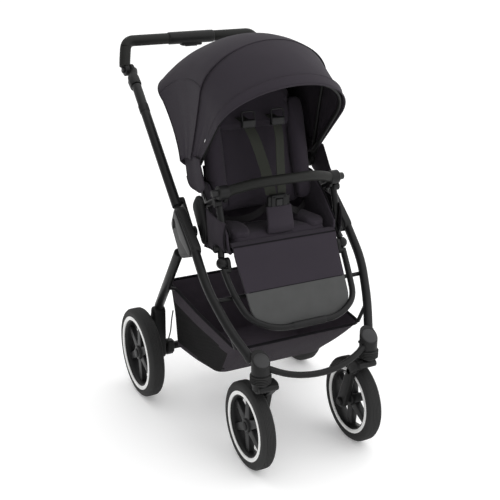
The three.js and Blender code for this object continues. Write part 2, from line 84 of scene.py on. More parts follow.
def make_studio():
    """White surroundings that are brightest above and to the left of the object, and dim to its right."""
    world = bpy.data.worlds.new("studio")
    world.use_nodes = True
    sky = world.node_tree
    backdrop = sky.nodes["Background"]
    backdrop.inputs["Color"].default_value = (1, 1, 1, 1)
    direction = sky.nodes.new("ShaderNodeTexCoord")
    tilt = sky.nodes.new("ShaderNodeVectorMath")
    tilt.operation = "DOT_PRODUCT"
    tilt.inputs[1].default_value = BRIGHT_SIDE
    spread = sky.nodes.new("ShaderNodeMapRange")
    for socket, value in (("From Min", -0.62), ("From Max", 0.85), ("To Min", 0.14), ("To Max", 1.36)):
        spread.inputs[socket].default_value = value
    sky.links.new(direction.outputs["Generated"], tilt.inputs[0])
    sky.links.new(tilt.outputs["Value"], spread.inputs["Value"])
    sky.links.new(spread.outputs["Result"], backdrop.inputs["Strength"])
    bpy.context.scene.world = world
    bpy.context.scene.view_settings.view_transform = "Standard"


make_studio()


# ---- Materials ----
class Finish:
    """One material, with shorthand for the nodes that give it grain, weave or wear."""

    def __init__(self, name, color, roughness, metallic=0.0, **sockets):
        self.material = bpy.data.materials.new(name)
        self.material.use_nodes = True
        self.nodes = self.material.node_tree.nodes
        self.links = self.material.node_tree.links
        self.shader = self.nodes["Principled BSDF"]
        self.shader.inputs["Roughness"].default_value = roughness
        self.shader.inputs["Metallic"].default_value = metallic
        for socket, value in sockets.items():
            self.shader.inputs[socket.replace("_", " ")].default_value = value
        self.color = color
        self.place = self.nodes.new("ShaderNodeTexCoord").outputs["Object"]
        self.height = None

    def texture(self, kind, scale, **settings):
        """A texture node on the piece's own coordinates; settings are its properties or sockets."""
        node = self.nodes.new("ShaderNodeTex" + kind)
        node.inputs["Scale"].default_value = scale
        for key, value in settings.items():
            if hasattr(node, key):
                setattr(node, key, value)
            else:
                node.inputs[key.replace("_", " ")].default_value = value
        self.links.new(self.place, node.inputs["Vector"])
        return node

    def math(self, operation, first, second):
        """The result of a sum on two patterns or numbers."""
        node = self.nodes.new("ShaderNodeMath")
        node.operation = operation
        for socket, value in zip(node.inputs, (first, second)):
            if isinstance(value, (int, float)):
                socket.default_value = value
            else:
                self.links.new(value, socket)
        return node.outputs[0]

    def tint(self, factor, dark, light):
        """Colour between two strengths of the base colour, by a 0 to 1 pattern."""
        ramp = self.nodes.new("ShaderNodeValToRGB")
        for stop, strength in zip(ramp.color_ramp.elements, (dark, light)):
            stop.color = [channel * strength for channel in self.color] + [1]
        self.links.new(factor, ramp.inputs["Fac"])
        self.links.new(ramp.outputs["Color"], self.shader.inputs["Base Color"])

    def rough(self, factor, low, high):
        """Roughness between two values, by a 0 to 1 pattern."""
        spread = self.nodes.new("ShaderNodeMapRange")
        spread.inputs["To Min"].default_value = low
        spread.inputs["To Max"].default_value = high
        self.links.new(factor, spread.inputs["Value"])
        self.links.new(spread.outputs["Result"], self.shader.inputs["Roughness"])

    def bump(self, height, strength, distance):
        """Surface relief from a pattern, on top of any relief already there."""
        node = self.nodes.new("ShaderNodeBump")
        node.inputs["Strength"].default_value = strength
        node.inputs["Distance"].default_value = distance
        self.links.new(height, node.inputs["Height"])
        if self.height:
            self.links.new(self.height, node.inputs["Normal"])
        self.height = node.outputs["Normal"]
        self.links.new(self.height, self.shader.inputs["Normal"])


def woven(name, color, pitch=0.0011, light=1.12, sheen=0.06, folds=0.0012):
    """Plain weave: warp and weft waves across each other, with slight colour drift."""
    cloth = Finish(name, color, 0.92, Sheen_Weight=sheen, Sheen_Roughness=0.5, Specular_IOR_Level=0.12)
    scale = math.pi / pitch / 10
    threads = []
    for direction in ("X", "Y", "Z"):
        wave = cloth.texture("Wave", scale, wave_type="BANDS", bands_direction=direction)
        threads.append(wave.outputs["Fac"])
    weave = cloth.math("MULTIPLY", threads[0], threads[2])
    weave = cloth.math("MAXIMUM", weave, cloth.math("MULTIPLY", threads[1], threads[2]))
    drift = cloth.texture("Noise", 7, Detail=5).outputs["Fac"]
    cloth.tint(cloth.math("ADD", cloth.math("MULTIPLY", weave, 0.35), cloth.math("MULTIPLY", drift, 0.65)),
               0.82, light)
    cloth.bump(weave, 0.35, 0.0004)
    cloth.bump(cloth.texture("Noise", 14, Detail=3).outputs["Fac"], 0.5, folds)
    return cloth.material


def moulded(name, color, roughness, grain=900.0, depth=0.00012, metallic=0.0, **sockets):
    """Moulded or coated hard surface with a fine grain and uneven gloss."""
    hard = Finish(name, color, roughness, metallic, **{"Specular_IOR_Level": 0.22, **sockets})
    drift = hard.texture("Noise", 22, Detail=4).outputs["Fac"]
    hard.tint(drift, 0.85, 1.2)
    hard.rough(drift, roughness - 0.06, roughness + 0.08)
    hard.bump(hard.texture("Noise", grain, Detail=2).outputs["Fac"], 0.35, depth)
    return hard.material


def grained(name, color, roughness, cells, depth):
    """Imitation leather: pebbled cells with creases between them."""
    hide = Finish(name, color, roughness, Specular_IOR_Level=0.2)
    pebbles = hide.texture("Voronoi", cells, feature="SMOOTH_F1").outputs["Distance"]
    drift = hide.texture("Noise", 30, Detail=4).outputs["Fac"]
    hide.tint(drift, 0.85, 1.25)
    hide.rough(drift, roughness - 0.07, roughness + 0.1)
    hide.bump(pebbles, 0.5, depth)
    return hide.material


def netted(name, color, pitch):
    """Open net: dark holes in a honeycomb of threads."""
    net = Finish(name, color, 0.9, Specular_IOR_Level=0.1)
    holes = net.texture("Voronoi", 1 / pitch, feature="F1", Randomness=0.15).outputs["Distance"]
    net.tint(holes, 0.3, 1.2)
    net.bump(holes, 0.8, 0.0008)
    return net.material


FRAME = moulded("black_powder_coat", (0.007, 0.007, 0.0073), 0.38, 1500, 0.00006, 0.1)
PLASTIC = moulded("black_moulded_plastic", (0.0078, 0.0078, 0.008), 0.47, 1100, 0.0001)
LEVER = moulded("smooth_black_plastic", (0.016, 0.016, 0.0165), 0.38, 600, 0.00004)
CAP = moulded("grey_black_cap", (0.034, 0.034, 0.035), 0.45, 700, 0.00005)
GRIP = grained("grip_imitation_leather", (0.0095, 0.0098, 0.0088), 0.52, 900, 0.0003)
TYRE = moulded("tyre_rubber", (0.026, 0.026, 0.026), 0.72, 500, 0.0002)
WHITE = moulded("white_ring", (0.86, 0.86, 0.85), 0.45, 700, 0.00003)
CLOTH = woven("slate_cloth", (0.0325, 0.0275, 0.035))
LINING = woven("lining_cloth", (0.026, 0.021, 0.0275), 0.0008, 1.1, 0.02)
SEAT_CLOTH = woven("seat_cloth", (0.034, 0.0285, 0.037), 0.0013)
# Lighter copy of the basket cloth for the tub's inside faces: painted light that makes up for the shade inside
# the basket.
BASKET_INSIDE_PAINTED_LIGHTER = woven("basket_cloth_painted_lighter_inside", (0.075, 0.063, 0.078), 0.0012, 1.1, 0.02)
BASKET = woven("basket_cloth", (0.036, 0.0295, 0.037), 0.0012, 1.1, 0.03)
NET = netted("basket_net", (0.014, 0.0135, 0.014), 0.0021)
COATED = grained("coated_calf_panel", (0.055, 0.056, 0.0555), 0.55, 1400, 0.00012)
PIPING = woven("piping", (0.008, 0.007, 0.009), 0.0009, 1.1, 0.02)
BLACK_WEB = woven("black_webbing", (0.013, 0.012, 0.013), 0.0009, 1.3, 0.02)
WEBBING = woven("grey_green_webbing", (0.033, 0.035, 0.029), 0.0009, 1.3, 0.03)
TAG = moulded("reflective_tick", (0.7, 0.7, 0.7), 0.3, 900, 0.00002)


# ---- Making meshes ----
def finish_piece(name, shape, material, body, nodes=(), smooth=40):
    """Turn a bmesh into a piece that rides on a body and stands for the named nodes."""
    mesh = bpy.data.meshes.new(name)
    shape.to_mesh(mesh)
    shape.free()
    piece = bpy.data.objects.new(name, mesh)
    bpy.context.collection.objects.link(piece)
    mesh.materials.append(material)
    mesh.shade_smooth()
    if smooth:
        mesh.set_sharp_from_angle(angle=math.radians(smooth))
    if body:
        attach(piece, body)
    if nodes:
        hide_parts(*nodes)
    return piece


def rounded(points, bend, steps=8):
    """The points of a route whose corners are rounded over `bend` metres each way."""
    points = [Vector(p) for p in points]
    stops = [points[0]]
    for before, corner, after in zip(points, points[1:], points[2:]):
        start = corner + (before - corner).normalized() * bend
        end = corner + (after - corner).normalized() * bend
        for i in range(steps + 1):
            t = i / steps
            stops.append(start * (1 - t) ** 2 + corner * 2 * t * (1 - t) + end * t ** 2)
    return stops + [points[-1]]


def even_line(points, count):
    """The same line with stops an equal distance apart."""
    points = [Vector(p) for p in points]
    gaps = [(b - a).length for a, b in zip(points, points[1:])]
    stops, walked, i = [], 0.0, 0
    for k in range(count + 1):
        want = sum(gaps) * k / count
        while i < len(gaps) - 1 and walked + gaps[i] < want:
            walked += gaps[i]
            i += 1
        stops.append(mix(points[i], points[i + 1], min(1, (want - walked) / gaps[i])))
    return stops


def sweep(route, radii, sides=28):
    """A round bar along the route; radii is one number, or one for each stop."""
    route = [Vector(p) for p in route]
    if not isinstance(radii, (list, tuple)):
        radii = [radii] * len(route)
    shape = bmesh.new()
    heading = (route[1] - route[0]).normalized()
    up = heading.orthogonal().normalized()
    ring = bmesh.ops.create_circle(shape, segments=sides, radius=1, cap_ends=False)["verts"]
    loops = [ring]
    for _ in route[1:]:
        edges = {edge for vert in loops[-1] for edge in vert.link_edges if edge.other_vert(vert) in loops[-1]}
        made = bmesh.ops.extrude_edge_only(shape, edges=list(edges))["geom"]
        new = [item for item in made if isinstance(item, bmesh.types.BMVert)]
        loops.append(new)
    flat = [vert.co.copy() for vert in loops[0]]
    for i, (stop, loop, radius) in enumerate(zip(route, loops, radii)):
        ahead = route[min(i + 1, len(route) - 1)] - stop
        behind = stop - route[max(i - 1, 0)]
        heading = (ahead.normalized() + behind.normalized()).normalized()
        up = (up - heading * up.dot(heading)).normalized()
        side = heading.cross(up)
        for vert, corner in zip(loop, flat):
            vert.co = stop + (side * corner.x + up * corner.y) * radius
    for loop in (loops[0], loops[-1]):
        bmesh.ops.contextual_create(shape, geom=loop)
    bmesh.ops.recalc_face_normals(shape, faces=shape.faces)
    return shape


def bar(name, points, radius, body, nodes, bend=0.03):
    """A painted frame tube with softened ends."""
    shape = sweep(rounded(points, bend), radius)
    rims = [edge for edge in shape.edges if any(len(face.verts) > 4 for face in edge.link_faces)]
    bmesh.ops.bevel(shape, geom=rims, offset=0.0012, segments=2, affect="EDGES", profile=0.5, material=-1)
    return finish_piece(name, shape, FRAME, body, nodes)


def spun(profile, centre, axis, steps=72):
    """Turn a profile of (radius, distance along the axis) about an axis through the centre."""
    axis = Vector(axis)
    out = axis.orthogonal().normalized()
    shape = bmesh.new()
    verts = [shape.verts.new(Vector(centre) + out * r + axis * h) for r, h in profile]
    edges = [shape.edges.new(pair) for pair in zip(verts, verts[1:])]
    bmesh.ops.spin(shape, geom=verts + edges, cent=centre, axis=axis, angle=2 * math.pi, steps=steps,
                   use_merge=True)
    bmesh.ops.remove_doubles(shape, verts=shape.verts, dist=1e-6)
    bmesh.ops.recalc_face_normals(shape, faces=shape.faces)
    return shape


def knob(name, radius, length, place, axis, material, body, nodes=(), soft=0.0015):
    """A round button or cap with a softened edge and a dished face."""
    profile = [(0, 0), (radius - soft, 0), (radius, soft), (radius, length - 1.6 * soft),
               (radius - 0.5 * soft, length - 0.5 * soft), (radius - 1.8 * soft, length),
               (radius * 0.6, length - 0.3 * soft), (0, length - 0.6 * soft)]
    return finish_piece(name, spun(profile, place, axis, 40), material, body, nodes)


def casting(circles, x0, x1, bevel):
    """A moulding from x0 to x1 with rounded edges, its outline drawn tight around circles of (y, z, radius)."""
    low, high = min(x0, x1), max(x0, x1)
    shape = bmesh.new()
    face = shape.faces.new([shape.verts.new((low, y, z)) for y, z in belt(circles)])
    made = bmesh.ops.extrude_face_region(shape, geom=[face])["geom"]
    far = [item for item in made if isinstance(item, bmesh.types.BMVert)]
    bmesh.ops.translate(shape, vec=(high - low, 0, 0), verts=far)
    bmesh.ops.recalc_face_normals(shape, faces=shape.faces)
    rims = [edge for edge in shape.edges if edge.calc_face_angle(0) > 0.9]
    bmesh.ops.bevel(shape, geom=rims, offset=bevel, segments=4, affect="EDGES", profile=0.5, material=-1)
    return shape


def belt(circles, steps=24):
    """The outline of a belt drawn tight around circles of (a, b, radius)."""
    shape = bmesh.new()
    for a, b, radius in circles:
        for i in range(steps):
            turn = 2 * math.pi * i / steps
            shape.verts.new((a + radius * math.cos(turn), b + radius * math.sin(turn), 0))
    hull = bmesh.ops.convex_hull(shape, input=shape.verts)["geom"]
    kept = {item for item in hull if isinstance(item, bmesh.types.BMVert)}
    middle = sum((vert.co for vert in kept), Vector()) / len(kept)
    places = sorted((math.atan2(v.co.y - middle.y, v.co.x - middle.x), v.co.x, v.co.y) for v in kept)
    shape.free()
    return [(a, b) for _, a, b in places]


def grid(columns, rows, place):
    """A sheet of columns by rows whose corners are placed by place(u, v), each from 0 to 1."""
    shape = bmesh.new()
    bmesh.ops.create_grid(shape, x_segments=columns, y_segments=rows, size=0.5, calc_uvs=True)
    for vert in shape.verts:
        vert.co = place(vert.co.x + 0.5, vert.co.y + 0.5)
    return shape


def walled(shape, thickness):
    """Give an open sheet a wall, with its normals put right before and after."""
    bmesh.ops.recalc_face_normals(shape, faces=shape.faces)
    bmesh.ops.solidify(shape, geom=shape.faces[:], thickness=thickness)
    bmesh.ops.recalc_face_normals(shape, faces=shape.faces)
    return shape


def outward(shape, middle):
    """Turn the faces of an open sheet away from the middle."""
    bmesh.ops.recalc_face_normals(shape, faces=shape.faces)
    total = sum((face.normal.dot(face.calc_center_median() - Vector(middle)) for face in shape.faces))
    if total < 0:
        bmesh.ops.reverse_faces(shape, faces=shape.faces[:])
    return shape


def round_off(piece):
    """Smooth the piece with one level of subdivision."""
    fine = piece.modifiers.new("fine", "SUBSURF")
    fine.levels = fine.render_levels = 1


def mix(a, b, t):
    """A value a share t of the way from a to b."""
    return a + (b - a) * t


def stop_on(line, t):
    """The point a share t of the way along a line of evenly spaced stops."""
    place = t * (len(line) - 1)
    i = min(int(place), len(line) - 2)
    return mix(line[i], line[i + 1], place - i)


def sided(points, side):
    """The route on one side of the object, from its points on the left."""
    return [(side * x, y, z) for x, y, z in points]


def both_ways(points):
    """A route that runs in from the right, through the points, and out on the left."""
    inner = [point for point in points if point[0] > 0]
    middle = [point for point in points if point[0] == 0]
    return [*sided(inner, -1), *middle, *reversed(inner)]


def joined(*shapes):
    """Several shapes as one mesh."""
    whole = bmesh.new()
    for shape in shapes:
        carrier = bpy.data.meshes.new("carrier")
        shape.to_mesh(carrier)
        shape.free()
        whole.from_mesh(carrier)
        bpy.data.meshes.remove(carrier)
    return whole


def block(corner, opposite, bevel):
    """A box between two opposite corners with rounded edges."""
    low = Vector([min(pair) for pair in zip(corner, opposite)])
    high = Vector([max(pair) for pair in zip(corner, opposite)])
    shape = bmesh.new()
    bmesh.ops.create_cube(shape, size=1)
    bmesh.ops.scale(shape, vec=high - low, verts=shape.verts)
    bmesh.ops.translate(shape, vec=(low + high) / 2, verts=shape.verts)
    bmesh.ops.bevel(shape, geom=shape.edges[:], offset=bevel, segments=3, affect="EDGES", profile=0.5,
                    material=-1)
    return shape


def drum(radius, x0, x1, y, z, soft=0.001, steps=40):
    """A round post along X with softened rims."""
    low, high = min(x0, x1), max(x0, x1)
    profile = [(0, low), (radius - soft, low), (radius, low + soft), (radius, high - soft),
               (radius - soft, high), (0, high)]
    return spun(profile, (0, y, z), (1, 0, 0), steps)


# ---- Wheels ----
REAR_WHEEL = {"radius": 0.14, "half": 0.023, "x": 0.278, "y": 0.211, "ring": (0.1045, 0.1165), "hub": 0.022}
FRONT_WHEEL = {"radius": 0.124, "half": 0.02, "x": 0.166, "y": -0.315, "ring": (0.0875, 0.0985), "hub": 0.02}
SPOKES = 6
REAR_AXLE = (REAR_WHEEL["y"], REAR_WHEEL["radius"])
FRONT_AXLE = (FRONT_WHEEL["y"], FRONT_WHEEL["radius"])


def tread_profile(radius, half, bed):
    """Half of the tyre's outline from the bed to the crown, with fine grooves round the tread."""
    outline = [(bed, 0.55 * half), (bed + 0.001, 0.82 * half), (bed + 0.006, 0.97 * half),
               (radius - 0.013, half), (radius - 0.008, 0.965 * half), (radius - 0.004, 0.84 * half),
               (radius - 0.0016, 0.66 * half)]
    for centre in (0.55, 0.33, 0.11):
        for offset, depth in ((0.05, 0), (0.035, 0.0011), (-0.035, 0.0011), (-0.05, 0)):
            outline.append((radius - 0.0009 * centre - depth, (centre + offset) * half))
    return outline


def make_wheel(end, name, side, wheel):
    """Tyre with white rings, six spokes on a nave, the barrel they stand in and a hub cap."""
    radius, half = wheel["radius"], wheel["half"]
    ring_low, ring_high = wheel["ring"]
    centre = (side * wheel["x"], wheel["y"], radius)
    body = f"wheel_{end}_{name}"
    bed = ring_low + 0.004
    outline = tread_profile(radius, half, bed)
    profile = outline + [(r, -h) for r, h in reversed(outline)]
    tread = spun(profile + profile[:1], centre, (1, 0, 0), 112)
    finish_piece(f"tread_{end}_{name}", tread, TYRE, body, [f"tyre_{end}_{name}"], 32)
    bands = []
    for facing in (-1, 1):
        face = half * facing
        band = [(ring_low, 0.80 * face), (ring_low + 0.0008, 0.985 * face), (ring_low + 0.0022, 1.03 * face),
                (ring_high - 0.002, 1.03 * face), (ring_high, 0.99 * face), (ring_high, 0.80 * face)]
        bands.append(spun(band + band[:1], centre, (1, 0, 0), 96))
    finish_piece(f"white_ring_{end}_{name}", joined(*bands), WHITE, body)
    rim = ring_low + 0.001
    barrel = [(rim, -0.86 * half), (rim, 0.86 * half), (rim - 0.0025, 0.9 * half), (rim - 0.005, 0.82 * half),
              (rim - 0.0075, 0.45 * half), (rim - 0.0085, 0), (rim - 0.0075, -0.45 * half),
              (rim - 0.005, -0.82 * half), (rim - 0.0025, -0.9 * half)]
    hub = wheel["hub"]
    nave = [(0, -0.82 * half), (hub * 0.55, -0.82 * half), (hub * 0.9, -0.74 * half), (hub, -0.55 * half),
            (hub, 0.55 * half), (hub * 0.9, 0.74 * half), (hub * 0.55, 0.82 * half), (0, 0.82 * half)]
    spokes = []
    for i in range(SPOKES):
        arm = bmesh.new()
        bmesh.ops.create_cube(arm, size=1)
        for vert in arm.verts:
            wide, deep, out = (0.016, 0.019, rim - 0.004) if vert.co.z > 0 else (0.021, 0.028, hub * 0.7)
            vert.co = Vector((vert.co.x * wide, vert.co.y * deep, out))
        bmesh.ops.bevel(arm, geom=arm.edges[:], offset=0.0022, segments=3, affect="EDGES", profile=0.5,
                        material=-1)
        bmesh.ops.rotate(arm, cent=(0, 0, 0), matrix=Matrix.Rotation(i * 2 * math.pi / SPOKES, 3, "X"),
                         verts=arm.verts)
        bmesh.ops.translate(arm, vec=centre, verts=arm.verts)
        spokes.append(arm)
    star = joined(*spokes, spun(nave, centre, (1, 0, 0), 56))
    finish_piece(f"spokes_{end}_{name}", star, LEVER, body, [f"rim_{end}_{name}"])
    finish_piece(f"rim_barrel_{end}_{name}", spun(barrel + barrel[:1], centre, (1, 0, 0), 96), PLASTIC, body)
    cap = [(0, 0.0036), (hub * 0.42, 0.0034), (hub * 0.6, 0.0024), (hub * 0.64, 0.0004), (hub * 0.64, -0.003)]
    outer_face = Vector(centre) + Vector((side * 0.82 * half, 0, 0))
    finish_piece(f"hub_cap_{end}_{name}", spun(cap, outer_face, (side, 0, 0), 48), PLASTIC, body)


for name, side in SIDES:
    make_wheel("rear", name, side, REAR_WHEEL)
    make_wheel("front", name, side, FRONT_WHEEL)

# ---- Chassis tubes and casings ----
FRONT_LEG = [(0.241, -0.128, 0.592), (0.243, -0.213, 0.503), (0.217, -0.291, 0.411), (0.181, -0.357, 0.338)]
REAR_LEG = [(0.24, -0.02, 0.541), (0.225, 0.19, 0.294)]
PUSH_TUBE = [(0.24, -0.016, 0.675), (0.229, 0.3, 0.957)]
FOLD_PIVOT = (-0.062, 0.612)
HUB_CIRCLES = [(-0.036, 0.652, 0.026), (-0.022, 0.622, 0.027), (-0.062, 0.562, 0.022), (-0.128, 0.585, 0.02)]


def shrunk(circles, amount):
    """The same circles with smaller radii."""
    return [(y, z, r - amount) for y, z, r in circles]


def make_hub(name, side):
    """Fold hub: a shell in two depths, a long ridge over the leg and a slider at the rear."""
    shell = casting(HUB_CIRCLES, side * 0.226, side * 0.2515, 0.0055)
    cover = casting(shrunk(HUB_CIRCLES, 0.0065), side * 0.249, side * 0.2535, 0.0018)
    pin = drum(0.006, side * 0.205, side * 0.232, *FOLD_PIVOT)
    finish_piece(f"hub_shell_{name}", joined(shell, cover, pin), PLASTIC, "chassis",
                 [f"hub_casing_{name}"], 30)
    raised = (side * 0.251, side * 0.2565)
    ridge = casting([(-0.034, 0.658, 0.010), (-0.072, 0.606, 0.0125), (-0.126, 0.578, 0.0095)], *raised, 0.002)
    finish_piece(f"hub_ridge_{name}", ridge, LEVER, "chassis", (), 30)
    slider = casting([(-0.018, 0.636, 0.0055), (-0.016, 0.618, 0.0055)], *raised, 0.0015)
    finish_piece(f"hub_slider_{name}", slider, LEVER, "chassis", (), 30)


def make_axle_housing(name, side):
    """Housing at the foot of the rear leg, with a raised cap, the axle's boss and its stub."""
    shell = casting([(0.196, 0.275, 0.017), (0.207, 0.19, 0.024), (0.205, 0.132, 0.020)], side * 0.206,
                    side * 0.245, 0.007)
    cap = casting([(0.198, 0.262, 0.009), (0.207, 0.19, 0.0165), (0.206, 0.137, 0.013)], side * 0.243,
                  side * 0.2475, 0.002)
    boss = drum(0.013, side * 0.24, side * 0.2535, *REAR_AXLE)
    axle = drum(0.006, side * 0.25, side * 0.283, *REAR_AXLE)
    finish_piece(f"rear_axle_shell_{name}", joined(shell, cap, boss, axle), PLASTIC, "rear_frame",
                 [f"axle_housing_{name}"], 30)


def make_knuckle(name, side, tip, depth, bridge, body):
    """Hinge plate inside the fold hub and the post that carries it into its tube."""
    plate = casting([(*FOLD_PIVOT, 0.015), (*tip, 0.011)], side * depth[0], side * depth[1], 0.0012)
    post = drum(0.01, side * depth[0], side * 0.236, *bridge)
    finish_piece(f"knuckle_{body}_{name}", joined(plate, post), FRAME, body, (), 30)


def make_brake_housing(name, side):
    """Brake drum beside the rear wheel, with its square cover."""
    brake_drum = drum(0.025, side * 0.178, side * 0.2035, *REAR_AXLE, 0.004, 48)
    cover = block((side * 0.178, 0.186, 0.128), (side * 0.2, 0.212, 0.168), 0.005)
    finish_piece(f"brake_housing_{name}", joined(brake_drum, cover), PLASTIC, "rear_frame", (), 35)


def make_chassis_side(name, side):
    """Front leg, rear leg and push tube of one side, and what joins them."""
    bar(f"front_leg_tube_{name}", sided(FRONT_LEG, side), 0.0125, "chassis", [f"front_leg_{name}"], 0.045)
    bar(f"rear_leg_tube_{name}", sided(REAR_LEG, side), 0.014, "rear_frame", [f"rear_leg_{name}"])
    bar(f"push_shaft_{name}", sided(PUSH_TUBE, side), 0.014, "push_frame", [f"push_tube_{name}"])
    make_knuckle(name, side, (-0.006, 0.684), (0.215, 0.2225), (-0.004, 0.686), "push_frame")
    make_knuckle(name, side, (-0.012, 0.535), (0.206, 0.2135), (-0.009, 0.53), "rear_frame")
    make_hub(name, side)
    make_axle_housing(name, side)
    strap = sweep([(side * 0.2315, 0.228, 0.892), (side * 0.2308, 0.246, 0.908)], 0.0152, 32)
    finish_piece(f"push_shaft_collar_{name}", strap, PLASTIC, "push_frame")
    make_brake_housing(name, side)


for name, side in SIDES:
    make_chassis_side(name, side)

bar("front_bow_tube", both_ways([(0.147, -0.386, 0.322), (0.095, -0.404, 0.298), (0, -0.414, 0.286)]), 0.0088,
    "chassis", ["front_cross_bar"], 0.045)
bar("mid_bar", both_ways([(0.236, -0.233, 0.469)]), 0.006, "chassis", ["mid_cross_tube"])
bar("rear_axle", both_ways([(0.2207, *REAR_AXLE)]), 0.012, "rear_frame", ["rear_axle_tube"])

# ---- Front casters ----
SWIVEL = (0.167, -0.378)
RIB_BASE, RIB_PITCH, RIBS = 0.2853, 0.0045, 5


def make_caster(name, side):
    """One-sided fork under its swivel post, and the ribbed collar round the stem."""
    body = f"caster_{name}"
    foot = (side * SWIVEL[0], SWIVEL[1], 0)
    arm = casting([(*FRONT_AXLE, 0.018), (-0.352, 0.236, 0.013)], side * 0.122, side * 0.142, 0.005)
    knee = casting([(-0.352, 0.236, 0.013), (-0.372, 0.268, 0.015), (-0.386, 0.270, 0.013)], side * 0.122,
                   side * 0.146, 0.005)
    top = casting([(-0.360, 0.270, 0.010), (-0.394, 0.270, 0.010), (-0.377, 0.266, 0.014)], side * 0.124,
                  side * 0.182, 0.004)
    post = spun([(0, 0.262), (0.0205, 0.262), (0.022, 0.264), (0.022, 0.2835), (0.0205, 0.2847), (0, 0.2847)],
                foot, (0, 0, 1), 48)
    stem = spun([(0, 0.28), (0.009, 0.28), (0.009, 0.326), (0, 0.327)], foot, (0, 0, 1), 32)
    axle = drum(0.0054, side * 0.138, side * 0.172, *FRONT_AXLE)
    boss = drum(0.0125, side * 0.115, side * 0.124, *FRONT_AXLE, 0.0025)
    finish_piece(f"fork_{name}", joined(arm, knee, top, post, stem, axle, boss), PLASTIC, body,
                 [f"caster_fork_{name}"], 30)
    ribs = [(0.0095, RIB_BASE)]
    for i in range(RIBS):
        base = RIB_BASE + RIB_PITCH * i
        ribs += [(0.0245, base), (0.0285, base + 0.0008), (0.029, base + 0.0018), (0.0285, base + 0.0028),
                 (0.0245, base + 0.0038)]
    ribs += [(0.0095, 0.3085), (0.0095, RIB_BASE)]
    finish_piece(f"ribbed_collar_{name}", spun(ribs, foot, (0, 0, 1), 56), TYRE, body,
                 [f"suspension_collar_{name}"], 35)


def make_caster_housing(name, side):
    """Upright housing cut off on a slant, with a lighter round cap on the slanted face."""
    x, y, slant, bottom = side * SWIVEL[0], SWIVEL[1], 0.62, 0.309
    hinge = Vector((x, y - 0.004, 0.348))
    facing = Matrix.Rotation(slant, 3, "X") @ Vector((0, 0, 1))
    shell = spun([(0, bottom), (0.0235, bottom), (0.025, bottom + 0.0015), (0.025, 0.38), (0, 0.38)], (x, y, 0),
                 (0, 0, 1), 64)
    bmesh.ops.bisect_plane(shell, geom=shell.verts[:] + shell.edges[:] + shell.faces[:], plane_co=hinge,
                           plane_no=facing, clear_outer=True)
    rim = [edge for edge in shell.edges if edge.is_boundary]
    bmesh.ops.contextual_create(shell, geom=rim)
    rim = [edge for edge in shell.edges if edge.calc_face_angle(0) > 0.3 and edge.verts[0].co.z > bottom + 0.01
           and all(abs((vert.co - hinge).dot(facing)) < 1e-5 for vert in edge.verts)]
    bmesh.ops.bevel(shell, geom=rim, offset=0.0016, segments=3, affect="EDGES", profile=0.5, material=-1)
    bmesh.ops.recalc_face_normals(shell, faces=shell.faces)
    socket = sweep(sided([(0.1815, -0.358, 0.3385), (0.1875, -0.347, 0.3505)], side), 0.0138, 32)
    finish_piece(f"caster_shell_{name}", joined(shell, socket), PLASTIC, "chassis",
                 [f"caster_housing_{name}"], 30)
    disc = [(0, 0.0022), (0.0195, 0.0022), (0.0215, 0.0012), (0.0222, 0), (0.0222, -0.001)]
    finish_piece(f"caster_cap_{name}", spun(disc, hinge - facing * 0.0002, facing, 48), CAP, "chassis")
    lever = block((x - 0.009, y + 0.0155, 0.3125), (x + 0.009, y + 0.034, 0.318), 0.0012)
    lip = drum(0.0045, x - 0.009, x + 0.009, y + 0.034, 0.3153, 0.001, 24)
    finish_piece(f"swivel_lever_{name}", joined(lever, lip), LEVER, f"swivel_lock_{name}",
                 [f"swivel_lock_{name}"])


for name, side in SIDES:
    make_caster(name, side)
    make_caster_housing(name, side)

# ---- Handlebar ----
BAR_Y, BAR_Z = 0.42, 1.071
HANDLE_PIVOT = (0.381, 0.991)
HANDLE_DROP = [(0.2336, 0.383, 0.996), (0.224, 0.402, 1.036), (0.212, BAR_Y, BAR_Z)]


def make_clamp(name, side):
    """Clamp on the push tube, with the neck and disc that hold the handlebar's joint."""
    sleeve = sweep(sided([(0.229, 0.3004, 0.9573), (0.2285, 0.306, 0.9605), (0.2265, 0.330, 0.974),
                          (0.226, 0.336, 0.977)], side), [0.0155, 0.017, 0.017, 0.0155], 36)
    bulge = sweep(sided([(0.228, 0.310, 0.947), (0.2275, 0.316, 0.950), (0.2265, 0.339, 0.963),
                         (0.226, 0.345, 0.966)], side), [0.0115, 0.014, 0.014, 0.0115], 32)
    neck_line = sided([(0.226, 0.334, 0.976), (0.216, 0.356, 0.984), (0.210, 0.374, 0.989)], side)
    neck = sweep(rounded(neck_line, 0.008), 0.0122, 32)
    disc = drum(0.0172, side * 0.207, side * 0.2198, *HANDLE_PIVOT, 0.003, 56)
    finish_piece(f"clamp_{name}", joined(sleeve, bulge, neck, disc), PLASTIC, "push_frame",
                 [f"handle_clamp_{name}"], 35)


def make_handle_joint(name, side):
    """Round joint between clamp and handlebar, with its angle button."""
    low, high = sorted((side * 0.2223, side * 0.2365))
    hub = [(0, low), (0.0158, low), (0.0175, low + 0.0015), (0.0175, high - 0.0015), (0.0158, high), (0, high)]
    finish_piece(f"handle_joint_{name}", spun(hub, (0, *HANDLE_PIVOT), (1, 0, 0), 56), PLASTIC, "handlebar")
    knob(f"handle_push_{name}", 0.009, 0.007, (side * 0.2362, *HANDLE_PIVOT), (side, 0, 0), LEVER,
         f"handle_button_{name}", [f"handle_button_{name}"])


